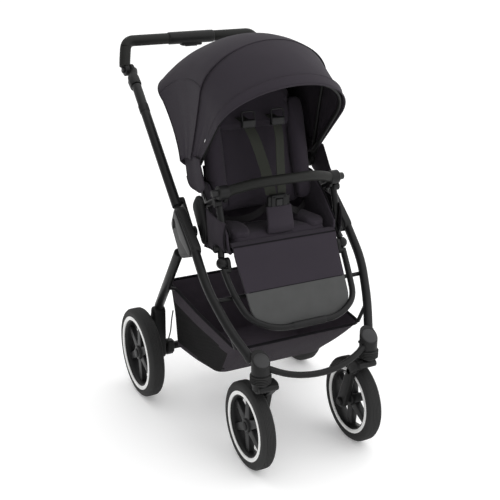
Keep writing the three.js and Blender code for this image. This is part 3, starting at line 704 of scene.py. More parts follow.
def make_grip(name, side):
    """Sewn wrap from the middle of the bar round the bend, stopping short of the joint."""
    wrap = rounded(sided([(0.0763, BAR_Y, BAR_Z), *reversed(HANDLE_DROP)], side), 0.024, 12)
    wrap = [wrap[0]] + [mix(wrap[0], wrap[1], t) for t in (0.01, 0.02, 0.98)] + wrap[1:]
    last, final = wrap[-2], wrap[-1]
    wrap[-1] = mix(last, final, 0.72)
    wrap.append(wrap[-1] + (final - last).normalized() * 0.0015)
    radii = [0.0155, 0.0162, 0.0166] + [0.0166] * (len(wrap) - 5) + [0.0162, 0.0145]
    finish_piece(f"grip_wrap_{name}", sweep(wrap, radii, 40), GRIP, "handlebar",
                 [f"handle_grip_{name}"])
    seam = [stop + Vector((0, -0.0118, -0.0118)) for stop in wrap[2:6]]
    finish_piece(f"grip_seam_{name}", sweep(seam, 0.0006, 8), PIPING, "handlebar")


def make_centre_grip():
    """Handlebar tube, the thick grip in its middle and the fold trigger underneath."""
    bar("handle_bow", both_ways(HANDLE_DROP), 0.011, "handlebar", ["handle_tube"], 0.022)
    outline = [(0.0762, 0.0165), (0.0745, 0.0182), (0.0725, 0.0188), (0.06, 0.019)]
    route = [(-x, BAR_Y, BAR_Z) for x, _ in outline] + [(x, BAR_Y, BAR_Z) for x, _ in reversed(outline)]
    radii = [radius for _, radius in outline] + [radius for _, radius in reversed(outline)]
    finish_piece("centre_grip", sweep(route, radii, 44), PLASTIC, "handlebar", ["handle_centre_grip"])
    housing = block((-0.034, BAR_Y - 0.0125, BAR_Z - 0.0245), (0.034, BAR_Y + 0.0125, BAR_Z - 0.008), 0.004)
    finish_piece("trigger_housing", housing, PLASTIC, "handlebar")
    trigger = block((-0.02, BAR_Y - 0.005, BAR_Z - 0.0275), (0.02, BAR_Y + 0.005, BAR_Z - 0.018), 0.0018)
    finish_piece("trigger_lever", trigger, LEVER, "fold_trigger", ["fold_trigger"])


for name, side in SIDES:
    make_clamp(name, side)
    make_handle_joint(name, side)
    make_grip(name, side)
make_centre_grip()

# ---- Brake pedal and cable ----
CABLE = [(-0.203, 0.130, 0.297), (-0.202, 0.146, 0.262), (-0.201, 0.160, 0.215), (-0.203, 0.178, 0.178),
         (-0.2034, 0.196, 0.160)]


def make_pedal():
    """Pedal plate with three ribs, on a sleeve round the axle."""
    wall = [(0.0125, -0.034), (0.0185, -0.034), (0.0195, -0.032), (0.0195, 0.032), (0.0185, 0.034),
            (0.0125, 0.034), (0.0125, -0.034)]
    sleeve = spun(wall, (0, *REAR_AXLE), (1, 0, 0), 56)
    plate = block((-0.034, 0.226, 0.142), (0.034, 0.263, 0.152), 0.0035)
    ribs = [block((-0.026, 0.238 + 0.007 * i, 0.1515), (0.026, 0.2405 + 0.007 * i, 0.1532), 0.0006)
            for i in range(3)]
    finish_piece("pedal", joined(sleeve, plate, *ribs), PLASTIC, "brake_pedal", ["brake_pedal"], 35)


make_pedal()
finish_piece("cable", sweep(rounded(CABLE, 0.016), 0.002, 14), TYRE, "rear_frame", ["brake_cable"])

# ---- Seat frame, bumper bar and footrest tubes ----
SEAT_TUBE = [(0.178, -0.084, 0.690), (0.178, -0.150, 0.724), (0.178, -0.172, 0.660), (0.178, -0.166, 0.600),
             (0.187, -0.186, 0.570)]
BACK_LEG = [(0.165, -0.050, 0.696), (0.165, 0.004, 0.765), (0.158, 0.100, 0.962), (0.100, 0.118, 1.0)]
FOOTREST = [(0.187, -0.201, 0.541), (0.182, -0.240, 0.492), (0.164, -0.304, 0.432), (0.096, -0.336, 0.404)]
BUMPER = [(0.163, -0.164, 0.744), (0.100, -0.194, 0.767), (0, -0.208, 0.772)]
SEAT_PIVOT, CALF_PIVOT, BUMPER_SOCKET = (-0.06, 0.68), (-0.192, 0.557), (-0.164, 0.744)


def make_seat_side(name, side):
    """Adapter shield beside the hub, and the seat's side tube with its fittings."""
    circles = [(-0.070, 0.692, 0.022), (-0.098, 0.628, 0.020), (-0.100, 0.598, 0.014), (-0.056, 0.676, 0.022)]
    shield = casting(circles, side * 0.19, side * 0.2025, 0.0045)
    face = casting(shrunk(circles, 0.006), side * 0.2015, side * 0.204, 0.0012)
    pivot = drum(0.008, side * 0.158, side * 0.192, *SEAT_PIVOT)
    finish_piece(f"adapter_{name}", joined(shield, face, pivot), PLASTIC, "chassis",
                 [f"seat_adapter_{name}"], 30)
    tube = sweep(rounded(sided(SEAT_TUBE, side), 0.016), 0.0092, 28)
    latch = drum(0.0105, side * 0.17, side * 0.2, -0.167, 0.59, 0.0025)
    socket = drum(0.0112, side * 0.173, side * 0.193, -0.156, 0.714, 0.0015)
    ball = bmesh.new()
    bmesh.ops.create_uvsphere(ball, u_segments=32, v_segments=20, radius=0.016)
    bmesh.ops.translate(ball, vec=(side * 0.1875, *CALF_PIVOT), verts=ball.verts)
    finish_piece(f"seat_post_{name}", joined(tube, latch, socket, ball), FRAME, "chassis",
                 [f"seat_side_tube_{name}"], 35)


def make_bumper_side(name, side):
    """Round end casing of the bumper bar, the tongue that plugs it in and its release button."""
    casing = drum(0.0195, side * 0.155, side * 0.186, *BUMPER_SOCKET, 0.003, 56)
    tongue = casting([(*BUMPER_SOCKET, 0.012), (-0.160, 0.722, 0.008)], side * 0.157, side * 0.167, 0.002)
    finish_piece(f"bumper_end_{name}", joined(casing, tongue), PLASTIC, "bumper", (), 35)
    knob(f"bumper_push_{name}", 0.0102, 0.024, (side * 0.179, *BUMPER_SOCKET), (side, 0, 0), LEVER,
         f"bumper_button_{name}", [f"bumper_button_{name}"], 0.002)


def make_bumper_bar():
    """Wrapped bar with a seam behind and a hard cuff near each end."""
    route = rounded(both_ways(BUMPER), 0.05, 14)
    finish_piece("bumper_tube", sweep(route, 0.0142, 36), GRIP, "bumper", ["bumper_bar"])
    seam = [stop + Vector((0, 0.0095, -0.0107)) for stop in route[2:-2]]
    finish_piece("bumper_seam", sweep(seam, 0.0007, 8), PIPING, "bumper")
    for (name, _), end, inner in zip(SIDES, (route[0], route[-1]), (route[1], route[-2])):
        cuff = [mix(end, inner, t) for t in (0.3, 0.36, 0.52, 0.58)]
        finish_piece(f"bumper_cuff_{name}", sweep(cuff, [0.0144, 0.0155, 0.0155, 0.0144], 36), PLASTIC,
                     "bumper")


def make_back_frame():
    """Tube round the back pad, its hinge plates, and the recline lever behind the top."""
    shapes = [sweep(rounded(both_ways(BACK_LEG), 0.028), 0.009)]
    for _, side in SIDES:
        plate = [(*SEAT_PIVOT, 0.017), (-0.044, 0.704, 0.009)]
        shapes.append(casting(plate, side * 0.16, side * 0.172, 0.0025))
        shapes.append(drum(0.009, side * 0.168, side * 0.181, -0.002, 0.762))
    finish_piece("back_tube", joined(*shapes), FRAME, "backrest", ["back_frame"], 35)
    lever = block((-0.03, 0.129, 0.992), (0.03, 0.144, 1.008), 0.005)
    finish_piece("recline_handle", lever, LEVER, "recline_lever", ["recline_lever"])


def make_footrest():
    """Bent tube round the calf rest, its hinge plates, and the sleeve in the middle of the front."""
    route = rounded(both_ways(FOOTREST), 0.036, 12)
    shapes = [sweep(route, 0.0088)]
    for _, side in SIDES:
        plate = [(*CALF_PIVOT, 0.014), (-0.202, 0.540, 0.009)]
        shapes.append(casting(plate, side * 0.167, side * 0.1774, 0.002))
        shapes.append(drum(0.008, side * 0.17, side * 0.188, -0.204, 0.538))
    finish_piece("footrest_tube", joined(*shapes), FRAME, "calf_rest", ["footrest_bar"], 35)
    front = even_line(route, 200)[84:117]
    finish_piece("footrest_sleeve", sweep(front, [0.0092, 0.0102] + [0.0104] * 29 + [0.0102, 0.0092]), PLASTIC,
                 "calf_rest")


for name, side in SIDES:
    make_seat_side(name, side)
    make_bumper_side(name, side)
make_back_frame()
make_footrest()
make_bumper_bar()

# ---- Soft goods: shared parts ----
PAD_PRESSURE = 4


def inflate(piece, most, voxel):
    """Blow a closed pad up as cloth, and keep every point within `most` metres of where it began."""
    scene = bpy.context.scene
    remesh = piece.modifiers.new("even", "REMESH")
    remesh.mode, remesh.voxel_size = "VOXEL", voxel
    apply_modifiers(piece)
    start = [vert.co.copy() for vert in piece.data.vertices]
    cloth = piece.modifiers.new("cloth", "CLOTH")
    cloth.settings.use_pressure = True
    cloth.settings.uniform_pressure_force = PAD_PRESSURE
    cloth.settings.effector_weights.gravity = 0
    cloth.settings.quality = 4
    for step in range(1, 21):
        scene.frame_set(step)
    apply_modifiers(piece)
    for vert, place in zip(piece.data.vertices, start):
        moved = vert.co - place
        if moved.length > most:
            vert.co = place + moved.normalized() * most
    scene.frame_set(1)
    round_off(piece)
    apply_modifiers(piece)


def apply_modifiers(piece):
    """Keep what the modifiers have made of the piece as its mesh."""
    graph = bpy.context.evaluated_depsgraph_get()
    baked = bpy.data.meshes.new_from_object(piece.evaluated_get(graph))
    piece.modifiers.clear()
    piece.data = baked
    baked.shade_smooth()


def crowned(width, length, thick, corner, crown, edge=0.0):
    """A closed pad: rounded corners, sides pulled in between them, domed above and below."""
    shape = bmesh.new()
    bmesh.ops.create_cube(shape, size=2)
    bmesh.ops.subdivide_edges(shape, edges=shape.edges[:], cuts=17, use_grid_fill=True)
    for vert in shape.verts:
        a, b, c = vert.co
        pull = 1 - edge * ((1 - a * a) if abs(b) > abs(a) else (1 - b * b))
        power = 2 / corner
        reach = (abs(a) ** power + abs(b) ** power) ** (1 / power)
        scale = max(abs(a), abs(b)) / reach if reach > 0 else 1
        flat = max(abs(a * scale), abs(b * scale))
        dome = 1 - (1 - crown) * min(1, flat) ** 4
        vert.co = Vector((a * scale * pull * width / 2, b * scale * pull * length / 2, c * dome * thick / 2))
    return shape


def stuffed(name, shape, body, most, voxel=0.006, nodes=()):
    """A pad of seat cloth blown up from a closed shape."""
    pad = finish_piece(name, shape, SEAT_CLOTH, None, nodes, 0)
    inflate(pad, most, voxel)
    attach(pad, body)


def piped(name, path, radius, body, material=PIPING):
    """A thin rolled edge or seam line along a path on the cloth."""
    return finish_piece(name, sweep(path, radius, 10), material, body)


def declare_sheet(piece, width, length, held, rests_on):
    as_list(rests_on)


def sheet_of_cloth(name, shape, body, flat, held, rests_on, thickness=0.0016, nodes=(), material=CLOTH):
    """A lined cloth made from an open sheet; flat is its width and length before it is sewn in, and is not
    used.
    """
    cloth = finish_piece(name, shape, material, body, nodes, 0)
    declare_sheet(cloth, *flat, held, rests_on)
    cloth.data.materials.append(LINING)
    wall = cloth.modifiers.new("wall", "SOLIDIFY")
    wall.thickness, wall.offset, wall.material_offset = thickness, -1, 1
    wall.use_even_offset = True
    return cloth


# ---- Hood ----
HOOD_Y, HOOD_Z, HOOD_FOOT, HOOD_CORNER = -0.01, 0.76, 0.046, 0.34
REAR_LAYER, FRONT_LAYER = (0.368, 0.18), (0.381, 0.188)
ARCH_LENGTH = 1.03
REAR_EDGE, MID_BOW, FRONT_BOW, BRIM_SEAM = 42, 106, 131.8, 129.2
HOOD_MIDDLE = (0, -0.05, 0.85)


def arch(u, layer, lift, flare, corner):
    """Across the hood from right to left: (x, distance out from the pivot line)."""
    reach, half = layer[0] + lift, layer[1] + lift
    crown = layer[0] * corner
    straight = 0.25
    side = -1 if u < 0.5 else 1
    t = u * 2 if u < 0.5 else (1 - u) * 2
    if t < straight:
        wide = half + flare * (1 - t / straight) ** 1.4
        return side * wide, HOOD_FOOT + (reach - crown - HOOD_FOOT) * t / straight
    turn = (t - straight) / (1 - straight) * math.pi / 2
    return side * half * math.cos(turn), reach - crown + crown * math.sin(turn)


def hood_point(u, angle, layer, lift=0.0):
    """A point of the hood: its feet flare out and its shoulders fill out towards the rear."""
    rearward = max(0.0, min(1.0, (math.radians(132) - angle) / math.radians(90)))
    t = min(u, 1 - u) * 2
    lift += 0.024 * rearward ** 2 * math.sin(math.pi * min(1, t * 1.15)) ** 2
    x, out = arch(u, layer, lift, 0.03 * rearward, HOOD_CORNER + 0.07 * (1 - rearward))
    return Vector((x, HOOD_Y + out * math.cos(angle), HOOD_Z + out * math.sin(angle)))


def hood_panel(start, end, layer, rows, dip, lift=0.0):
    """Taut cloth between two bows: it dips a little between them and carries faint creases."""
    start, end = math.radians(start), math.radians(end)

    def place(u, v):
        t = min(u, 1 - u) * 2
        slack = dip * math.sin(math.pi * v) * min(1, t * 4)
        rise = (FRONT_LAYER[0] - layer[0] - 0.0006) * v ** 1.5
        point = hood_point(u, mix(start, end, v), layer, lift + rise - slack)
        crease = noise.noise(point * 9 + Vector((3, 1, 7))) * 0.0016 + noise.noise(point * 26) * 0.0005
        fold = math.sin(v * 18 + t * 9) * 0.0008 * max(0, 1 - t * 2.2) * math.sin(math.pi * v)
        inward = Vector((0, HOOD_Y, HOOD_Z)) - point
        return point + inward.normalized() * ((crease + fold) * math.sin(math.pi * v))
    return outward(grid(110, rows, place), HOOD_MIDDLE)


def arch_line(angle, layer, lift, steps=72):
    """The hood's outline from foot to foot at one angle."""
    return [hood_point(i / steps, math.radians(angle), layer, lift) for i in range(steps + 1)]


def hood_flat(angle, layer):
    """Width and length of the flat cloth that covers an angle of the hood."""
    return ARCH_LENGTH, layer[0] * math.radians(angle)


def follow_rear(piece):
    """Bake the placement of a rear piece of the hood into its mesh."""
    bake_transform(piece)


def make_hood_cloths():
    """Rear cloth, front cloth and the stiff band along the brim."""
    rear = sheet_of_cloth("hood_rear_cloth", hood_panel(REAR_EDGE, MID_BOW, REAR_LAYER, 56, 0.006), None,
                          hood_flat(64, REAR_LAYER), "stretched", ["hood_mid_rib", "back_tube"],
                          nodes=["hood_rear_panel"])
    front = sheet_of_cloth("hood_front_cloth", hood_panel(105.5, 133, FRONT_LAYER, 34, 0.004, -0.0005), None,
                           hood_flat(27.5, FRONT_LAYER), "stretched", ["hood_mid_rib", "hood_front_rib"],
                           nodes=["hood_front_panel", "hood_front_bow"])
    sheet_of_cloth("hood_brim_band", hood_panel(BRIM_SEAM, 133.9, FRONT_LAYER, 8, 0, 0.0012), "hood_front",
                   hood_flat(4.7, FRONT_LAYER), "stretched", ["hood_front_cloth"], 0.0022)
    follow_rear(rear)
    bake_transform(front)


def make_hood_bows():
    """Ribs under the cloth, with the seams and rolled edges over them."""
    finish_piece("hood_mid_rib", sweep(arch_line(MID_BOW, REAR_LAYER, 0.001), 0.0055, 20), PLASTIC, "hood_mid",
                 ["hood_mid_bow"])
    finish_piece("hood_front_rib", sweep(arch_line(FRONT_BOW, FRONT_LAYER, -0.0085), 0.0055, 20), PLASTIC,
                 "hood_front")
    piped("brim_edge", arch_line(134.1, FRONT_LAYER, -0.0003), 0.0021, "hood_front", material=CLOTH)
    piped("brim_seam", arch_line(BRIM_SEAM, FRONT_LAYER, 0.0012), 0.0008, "hood_front", material=CLOTH)
    piped("mid_seam", arch_line(105.8, FRONT_LAYER, 0.0004), 0.0008, "hood_mid", material=CLOTH)
    piped("rear_edge", arch_line(REAR_EDGE, REAR_LAYER, -0.0006), 0.0022, "backrest")
    for name, u in (("right", 0.16), ("left", 0.84)):
        route = []
        for i in range(41):
            rise = 0.0002 + 0.0124 * (i / 40) ** 1.5 - 0.006 * math.sin(math.pi * i / 40)
            route.append(hood_point(u, math.radians(mix(43, 105, i / 40)), REAR_LAYER, rise))
        follow_rear(piped(f"rear_side_seam_{name}", route, 0.0009, None, material=CLOTH))


def tick_place(u, v):
    """The small reflective tick near the foot of the brim."""
    return hood_point(0.062 + 0.008 * u, math.radians(mix(127.2, 128.8, v)), FRONT_LAYER, 0.0006)


def make_hood_side(name, side):
    """Hinge of the hood, and the loose flap of cloth that hides it."""
    hinge = drum(0.021, side * 0.178, side * 0.191, HOOD_Y, HOOD_Z, 0.003, 56)
    arm = casting([(HOOD_Y, HOOD_Z, 0.012), (HOOD_Y - 0.04, HOOD_Z + 0.05, 0.008)], side * 0.181, side * 0.190,
                  0.002)
    finish_piece(f"hood_hinge_{name}", joined(hinge, arm), PLASTIC, "hood_mid", (), 35)

    def flap(u, v):
        low = 0.724 + 0.026 * (2 * u - 1) ** 4
        spread = 0.0008 * math.sin(u * 9)
        return Vector((side * (mix(0.1945, 0.1975, v ** 0.7) + spread),
                       mix(mix(-0.068, -0.108, v), mix(0.034, 0.01, v), u), mix(0.815, low, v)))
    sheet_of_cloth(f"hood_side_flap_{name}", outward(grid(24, 18, flap), HOOD_MIDDLE), "backrest", (0.12, 0.08),
                   "hung", ["hood_rear_cloth"])
    piped(f"hood_flap_edge_{name}", [flap(i / 24, 1) for i in range(25)], 0.0018, "backrest", material=CLOTH)


def drape_between(upper, lower, bulge, columns=90, rows=16):
    """Cloth from one line of points to another, bellied outwards between them."""
    def place(u, v):
        point = mix(stop_on(upper, u), stop_on(lower, u), v)
        away = (point - Vector((0, -0.02, 0.82))).normalized()
        crease = noise.noise(point * 12) * 0.0015
        return point + away * (bulge * math.sin(math.pi * v) + crease * math.sin(math.pi * v))
    return outward(grid(columns, rows, place), HOOD_MIDDLE)


make_hood_cloths()
make_hood_bows()
tick = outward(grid(3, 6, tick_place), HOOD_MIDDLE)
finish_piece("reflective_tick", tick, TAG, "hood_front", (), 0)
for name, side in SIDES:
    make_hood_side(name, side)
BACK_LOOP = even_line(rounded(both_ways(BACK_LEG[1:]), 0.028), 90)
BACK_LINE = [point + Vector((0, 0.011, 0.002)) for point in BACK_LOOP]
REAR_LINE = even_line(arch_line(REAR_EDGE, REAR_LAYER, -0.0004, 120), 90)
sheet_of_cloth("hood_rear_drape", drape_between(REAR_LINE, BACK_LINE, 0.007), "backrest", (1.0, 0.16),
               "stretched", ["back_tube", "hood_rear_cloth"])

# ---- Back pad, headrest and back cover ----
BACK_TILT = 0.26
BACK_MIDDLE = Vector((0, -0.002, 0.81))
BACK_LEAN = Matrix.Rotation(-BACK_TILT, 4, "X")
BACK_FRONT = BACK_LEAN.to_3x3() @ Vector((0, -1, 0))
BACK_UP = BACK_LEAN.to_3x3() @ Vector((0, 0, 1))


def upright(shape, middle):
    """Stand a pad drawn flat against the backrest, its back to the rear."""
    place = Matrix.Translation(middle) @ BACK_LEAN @ Matrix.Rotation(math.pi / 2, 4, "X")
    bmesh.ops.transform(shape, matrix=place, verts=shape.verts)
    return shape


def on_back(x, up, proud):
    """A point up the backrest from its middle, standing proud of it."""
    return BACK_MIDDLE + Vector((x, 0, 0)) + BACK_UP * up + BACK_FRONT * proud


def make_back_side(name, side):
    """Long bolster beside the back pad and the seam between them."""
    bolster = upright(crowned(0.052, 0.29, 0.05, 0.5, 0.5), on_back(side * 0.132, -0.012, 0.022))
    stuffed(f"back_bolster_{name}", bolster, "backrest", 0.005)
    seam = [on_back(side * 0.105, mix(-0.15, 0.05, i / 20), 0.0265 + 0.0015 * math.sin(i)) for i in range(21)]
    piped(f"back_seam_{name}", seam, 0.001, "backrest")


stuffed("back_cushion", upright(crowned(0.288, 0.35, 0.030, 0.22, 0.55, 0.02), BACK_MIDDLE), "backrest",
        0.008, nodes=["back_pad"])
stuffed("head_cushion", upright(crowned(0.25, 0.125, 0.018, 0.3, 0.5, 0.03), on_back(0, 0.112, 0.024)),
        "backrest", 0.006, 0.005)
for name, side in SIDES:
    make_back_side(name, side)
sheet_of_cloth("back_cover", drape_between(BACK_LINE[4:46], BACK_LINE[86:44:-1], 0.006, 40, 34), "backrest",
               (0.34, 0.26), "stretched", ["back_tube"])

# ---- Seat cushion, wings and front lip ----
def make_seat_pad():
    """Seat cushion, sloping down to the back, with two sewn channels across it."""
    seat = crowned(0.306, 0.166, 0.034, 0.24, 0.6, 0.02)
    bmesh.ops.rotate(seat, cent=(0, 0, 0), matrix=Matrix.Rotation(-0.1, 3, "X"), verts=seat.verts)
    bmesh.ops.translate(seat, vec=(0, -0.106, 0.592), verts=seat.verts)
    stuffed("seat_pad", seat, "chassis", 0.008, nodes=["seat_cushion"])
    for i, y in enumerate((-0.075, -0.118)):
        line = [(x / 100, y - 0.004 * abs(x) / 14, 0.6115 + 0.0025 * (1 - (x / 14) ** 2))
                for x in range(-13, 14)]
        piped(f"seat_channel_{i}", line, 0.0009, "chassis")


def make_wing(name, side):
    """Side of the seat: a soft wall that rises from the front corner to the back."""
    def place(u, v):
        y = mix(-0.192, -0.02, u)
        top = mix(0.612, 0.742, min(1, 0.08 + 1.25 * u) ** 0.8)
        z = mix(0.578, top, v)
        x = mix(0.1555, 0.166, v) + 0.004 * math.sin(math.pi * v) - 0.006 * u * v
        x += noise.noise(Vector((u * 4, v * 4, side))) * 0.0015
        return Vector((side * x, y, z))
    wing = finish_piece(f"seat_wing_{name}", walled(grid(34, 22, place), 0.008), SEAT_CLOTH, "chassis",
                        (), 0)
    round_off(wing)
    rim = [place(i / 30, 1) + Vector((side * -0.002, 0, 0.001)) for i in range(31)]
    piped(f"wing_piping_{name}", rim, 0.0024, "chassis")


def make_side_flap(name, side):
    """Loose cloth outside the seat's front corner, piped along its front and lower edges."""
    def hang(u, v):
        y = mix(-0.197, -0.092, u) + 0.006 * v
        z = mix(0.668 + 0.018 * u, 0.585 - 0.012 * u, v)
        x = 0.1895 + 0.006 * math.sin(math.pi * v) - 0.014 * (1 - u) ** 6
        return Vector((side * (x + 0.0012 * math.sin(u * 11 + v * 3)), y, z))
    sheet_of_cloth(f"side_flap_{name}", outward(grid(22, 16, hang), (0, -0.1, 0.6)), "chassis", (0.104, 0.09),
                   "hung", [f"seat_post_{name}"], 0.002)
    edge = [hang(0, i / 16) for i in range(17)] + [hang(i / 16, 1) for i in range(1, 17)]
    piped(f"flap_piping_{name}", edge, 0.0022, "chassis")


def make_thigh_bolster(name, side):
    """Small pad beside the thigh, turned to follow the seat's side."""
    thigh = crowned(0.066, 0.15, 0.036, 0.6, 0.5)
    bmesh.ops.rotate(thigh, cent=(0, 0, 0), matrix=Matrix.Rotation(side * 0.16, 3, "Z"), verts=thigh.verts)
    bmesh.ops.translate(thigh, vec=(side * 0.108, -0.1, 0.616), verts=thigh.verts)
    stuffed(f"thigh_bolster_{name}", thigh, "chassis", 0.005, 0.005)


make_seat_pad()
for name, side in SIDES:
    make_wing(name, side)
    make_side_flap(name, side)
    make_thigh_bolster(name, side)
SLING_STOPS = 60
SLING = even_line(rounded([(0, 0.006, 0.775), (0, -0.034, 0.690), (0, -0.016, 0.625), (0, -0.030, 0.574),
                           (0, -0.110, 0.563), (0, -0.186, 0.578)], 0.02), SLING_STOPS)


def sling_place(u, v):
    """Cloth slung under the pads, from the back tube down and forward under the seat."""
    spot = SLING[round(v * SLING_STOPS)]
    x = (u - 0.5) * 2 * mix(0.152, 0.163, min(1, v * 2))
    belly = 0.006 * (1 - (u * 2 - 1) ** 2) * math.sin(math.pi * v)
    ripple = 0.001 * noise.noise(Vector((x * 20, v * 5, 2)))
    return Vector((x, spot.y + belly * (1 - v), spot.z - belly * v + ripple))


sling = sheet_of_cloth("seat_sling", outward(grid(36, SLING_STOPS, sling_place), (0, -0.11, 0.66)), None,
                       (0.325, 0.385), "stretched", ["seat_post_right", "seat_post_left", "back_tube"], 0.003,
                       material=SEAT_CLOTH)
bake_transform(sling)

# ---- Calf rest: cloth over the front edge, coated panel below ----
CALF_LINE = even_line(rounded([(0, -0.184, 0.607), (0, -0.206, 0.603), (0, -0.214, 0.572), (0, -0.326, 0.402)],
                              0.012), 80)
CALF_LENGTH, CALF_CORNER, CALF_SPLIT = 0.246, 0.062, 0.585


def calf_half(v):
    """Half the panel's width, which rounds in at the lower corners."""
    left = (1 - v) * CALF_LENGTH
    straight = mix(0.160, 0.147, v)
    if left > CALF_CORNER:
        return straight
    return straight - CALF_CORNER + math.sqrt(max(0, CALF_CORNER ** 2 - (CALF_CORNER - left) ** 2))


def calf_place(u, v, proud=0.0):
    """A point of the panel, bellied a little between its edges."""
    spot = stop_on(CALF_LINE, v)
    x = (u - 0.5) * 2 * calf_half(v)
    ripple = 0.0008 * noise.noise(Vector((x * 12, v * 3, 5)))
    lift = 0.004 * (1 - (u * 2 - 1) ** 4) * math.sin(math.pi * v) + proud + ripple
    return Vector((x, spot.y - 0.83 * lift, spot.z + 0.55 * lift))


def calf_piece(name, low, high, material, thickness):
    """Part of the padded panel, from one share of its length to another."""
    shape = grid(48, max(8, round(60 * (high - low))), lambda u, v: calf_place(u, mix(low, high, v)))
    bmesh.ops.recalc_face_normals(shape, faces=shape.faces)
    if sum(face.normal.y for face in shape.faces) > 0:
        bmesh.ops.reverse_faces(shape, faces=shape.faces[:])
    bmesh.ops.solidify(shape, geom=shape.faces[:], thickness=thickness)
    bmesh.ops.recalc_face_normals(shape, faces=shape.faces)
    piece = finish_piece(name, shape, material, None, (), 50)
    return piece


calf_cloth = calf_piece("calf_cloth", 0, CALF_SPLIT, SEAT_CLOTH, 0.009)
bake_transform(calf_cloth)
calf_coated = calf_piece("calf_coated_panel", CALF_SPLIT, 1, COATED, 0.0085)
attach(calf_coated, "calf_rest")
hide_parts("calf_pad")
piped("calf_split_seam", [calf_place(i / 40, CALF_SPLIT, 0.0004) for i in range(1, 40)], 0.0009, "calf_rest")
piped("seat_front_piping", [calf_place(i / 40, 0.085, 0.0002) for i in range(41)], 0.0022, "chassis")


# ---- Harness ----
STRAP_STOPS, CROTCH_STOPS = 60, 24


def ribbon(name, path, width, material, body, across):
    """A flat woven strap along a path, with its width across it."""
    stops = even_line(rounded(path, 0.02), STRAP_STOPS)

    def place(u, v):
        return stops[round(v * STRAP_STOPS)] + Vector(across) * (u - 0.5) * width
    return finish_piece(name, walled(grid(8, STRAP_STOPS, place), 0.002), material, body, (), 50)


def make_straps(name, side):
    """Shoulder strap with its slider, waist strap, and the tongue where they meet."""
    shoulder = sided([(0.046, -0.014, 0.905), (0.046, -0.055, 0.898), (0.038, -0.09, 0.862),
                      (0.024, -0.124, 0.785), (0.016, -0.148, 0.712)], side)
    strap = ribbon(f"shoulder_strap_{name}", shoulder, 0.03, WEBBING, None,
                   Vector((1, side * 0.25, 0)).normalized())
    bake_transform(strap)
    x = side * 0.045
    slider = block((x - 0.02, -0.073, 0.886), (x + 0.02, -0.058, 0.908), 0.003)
    loop = sweep(rounded([(x - 0.019, -0.07, 0.904), (x - 0.019, -0.062, 0.93), (x + 0.019, -0.062, 0.93),
                          (x + 0.019, -0.07, 0.904)], 0.006), 0.0022, 14)
    finish_piece(f"strap_slider_{name}", joined(slider, loop), LEVER, "backrest")
    waist = sided([(0.021, -0.156, 0.69), (0.065, -0.13, 0.652), (0.105, -0.09, 0.634),
                   (0.14, -0.06, 0.645)], side)
    ribbon(f"waist_strap_{name}", waist, 0.02, BLACK_WEB, "chassis", (0, 0.35, 0.94))
    x = side * 0.0235
    tongue = block((x - 0.01, -0.163, 0.683), (x + 0.01, -0.152, 0.712), 0.003)
    finish_piece(f"buckle_tongue_{name}", tongue, PLASTIC, "chassis")


def make_buckle():
    """Buckle shell open in the middle of its face, with the release button in the opening."""
    bottom = block((-0.024, -0.166, 0.678), (0.024, -0.1505, 0.6835), 0.002)
    top = block((-0.024, -0.166, 0.7045), (0.024, -0.1505, 0.716), 0.004)
    rear = block((-0.024, -0.1535, 0.679), (0.024, -0.1500, 0.715), 0.0015)
    cheeks = [block((side * 0.0175 - 0.0065, -0.166, 0.6805), (side * 0.0175 + 0.0065, -0.1505, 0.713), 0.002)
              for _, side in SIDES]
    finish_piece("buckle_shell", joined(bottom, top, rear, *cheeks), PLASTIC, "chassis", ["buckle"])
    button = block((-0.0098, -0.1672, 0.6846), (0.0098, -0.1602, 0.7038), 0.002)
    finish_piece("buckle_push", button, LEVER, "buckle_button", ["buckle_button"])


def make_crotch_pad():
    """Padded sleeve below the buckle, wider at the seat."""
    line = even_line([(0, -0.1535, 0.682), (0, -0.163, 0.655), (0, -0.168, 0.632), (0, -0.165, 0.612)],
                     CROTCH_STOPS)

    def place(u, v):
        across = u * 2 - 1
        belly = Vector((across * mix(0.037, 0.040, v), -0.004 * (1 - across ** 2), 0))
        return line[round(v * CROTCH_STOPS)] + belly
    pad = finish_piece("crotch_pad", walled(grid(16, CROTCH_STOPS, place), 0.010), SEAT_CLOTH, "chassis",
                       (), 0)
    round_off(pad)


for name, side in SIDES:
    make_straps(name, side)
make_buckle()
make_crotch_pad()

# ---- Basket ----
RIM = [(0.196, -0.290, 0.345), (0.203, -0.060, 0.362), (0.205, 0.160, 0.385)]
BASE = [(0.170, -0.128, 0.194), (0.180, 0.020, 0.176), (0.188, 0.162, 0.170)]
BASE_MIDDLE = Vector((0, 0.014, 0.186))
LOOP_STOPS = 160
WALL = 0.62
# Outside faces, inside faces, net, inside of the net; the inside faces take the copy of the cloth painted
# lighter against the shade in the tub.
BASKET_FACES = (BASKET, BASKET_INSIDE_PAINTED_LIGHTER, NET, BASKET_INSIDE_PAINTED_LIGHTER)


def loop_of(corners, bend):
    """A closed line through the corners on both sides, starting in the middle of the front."""
    left = [Vector(p) for p in corners]
    right = [Vector((-p.x, p.y, p.z)) for p in reversed(left)]
    front = (left[0] + right[-1]) / 2
    return even_line(rounded([front, *left, *right, front], bend), LOOP_STOPS)


RIM_LOOP, BASE_LOOP = loop_of(RIM, 0.026), loop_of(BASE, 0.035)


def basket_place(u, v):
    """Down the wall from the rim for the first share of v, then in across the sagging base."""
    i = round(u * LOOP_STOPS) % LOOP_STOPS
    high, low = RIM_LOOP[i], BASE_LOOP[i]
    if v < WALL:
        t = v / WALL
        point = mix(high, low, t)
        away = Vector((point.x, point.y - 0.02, 0)).normalized()
        belly = 0.007 * math.sin(math.pi * t) + 0.003 * noise.noise(point * 14) * math.sin(math.pi * t)
        return point + away * belly * 0.3 - Vector((0, 0, 0.008 * math.sin(math.pi * t) * (1 - t)))
    t = (v - WALL) / (1 - WALL)
    point = mix(low, BASE_MIDDLE, t)
    return point + Vector((0, 0, -0.008 * math.sin(t * math.pi / 2) + 0.0015 * noise.noise(point * 18)))


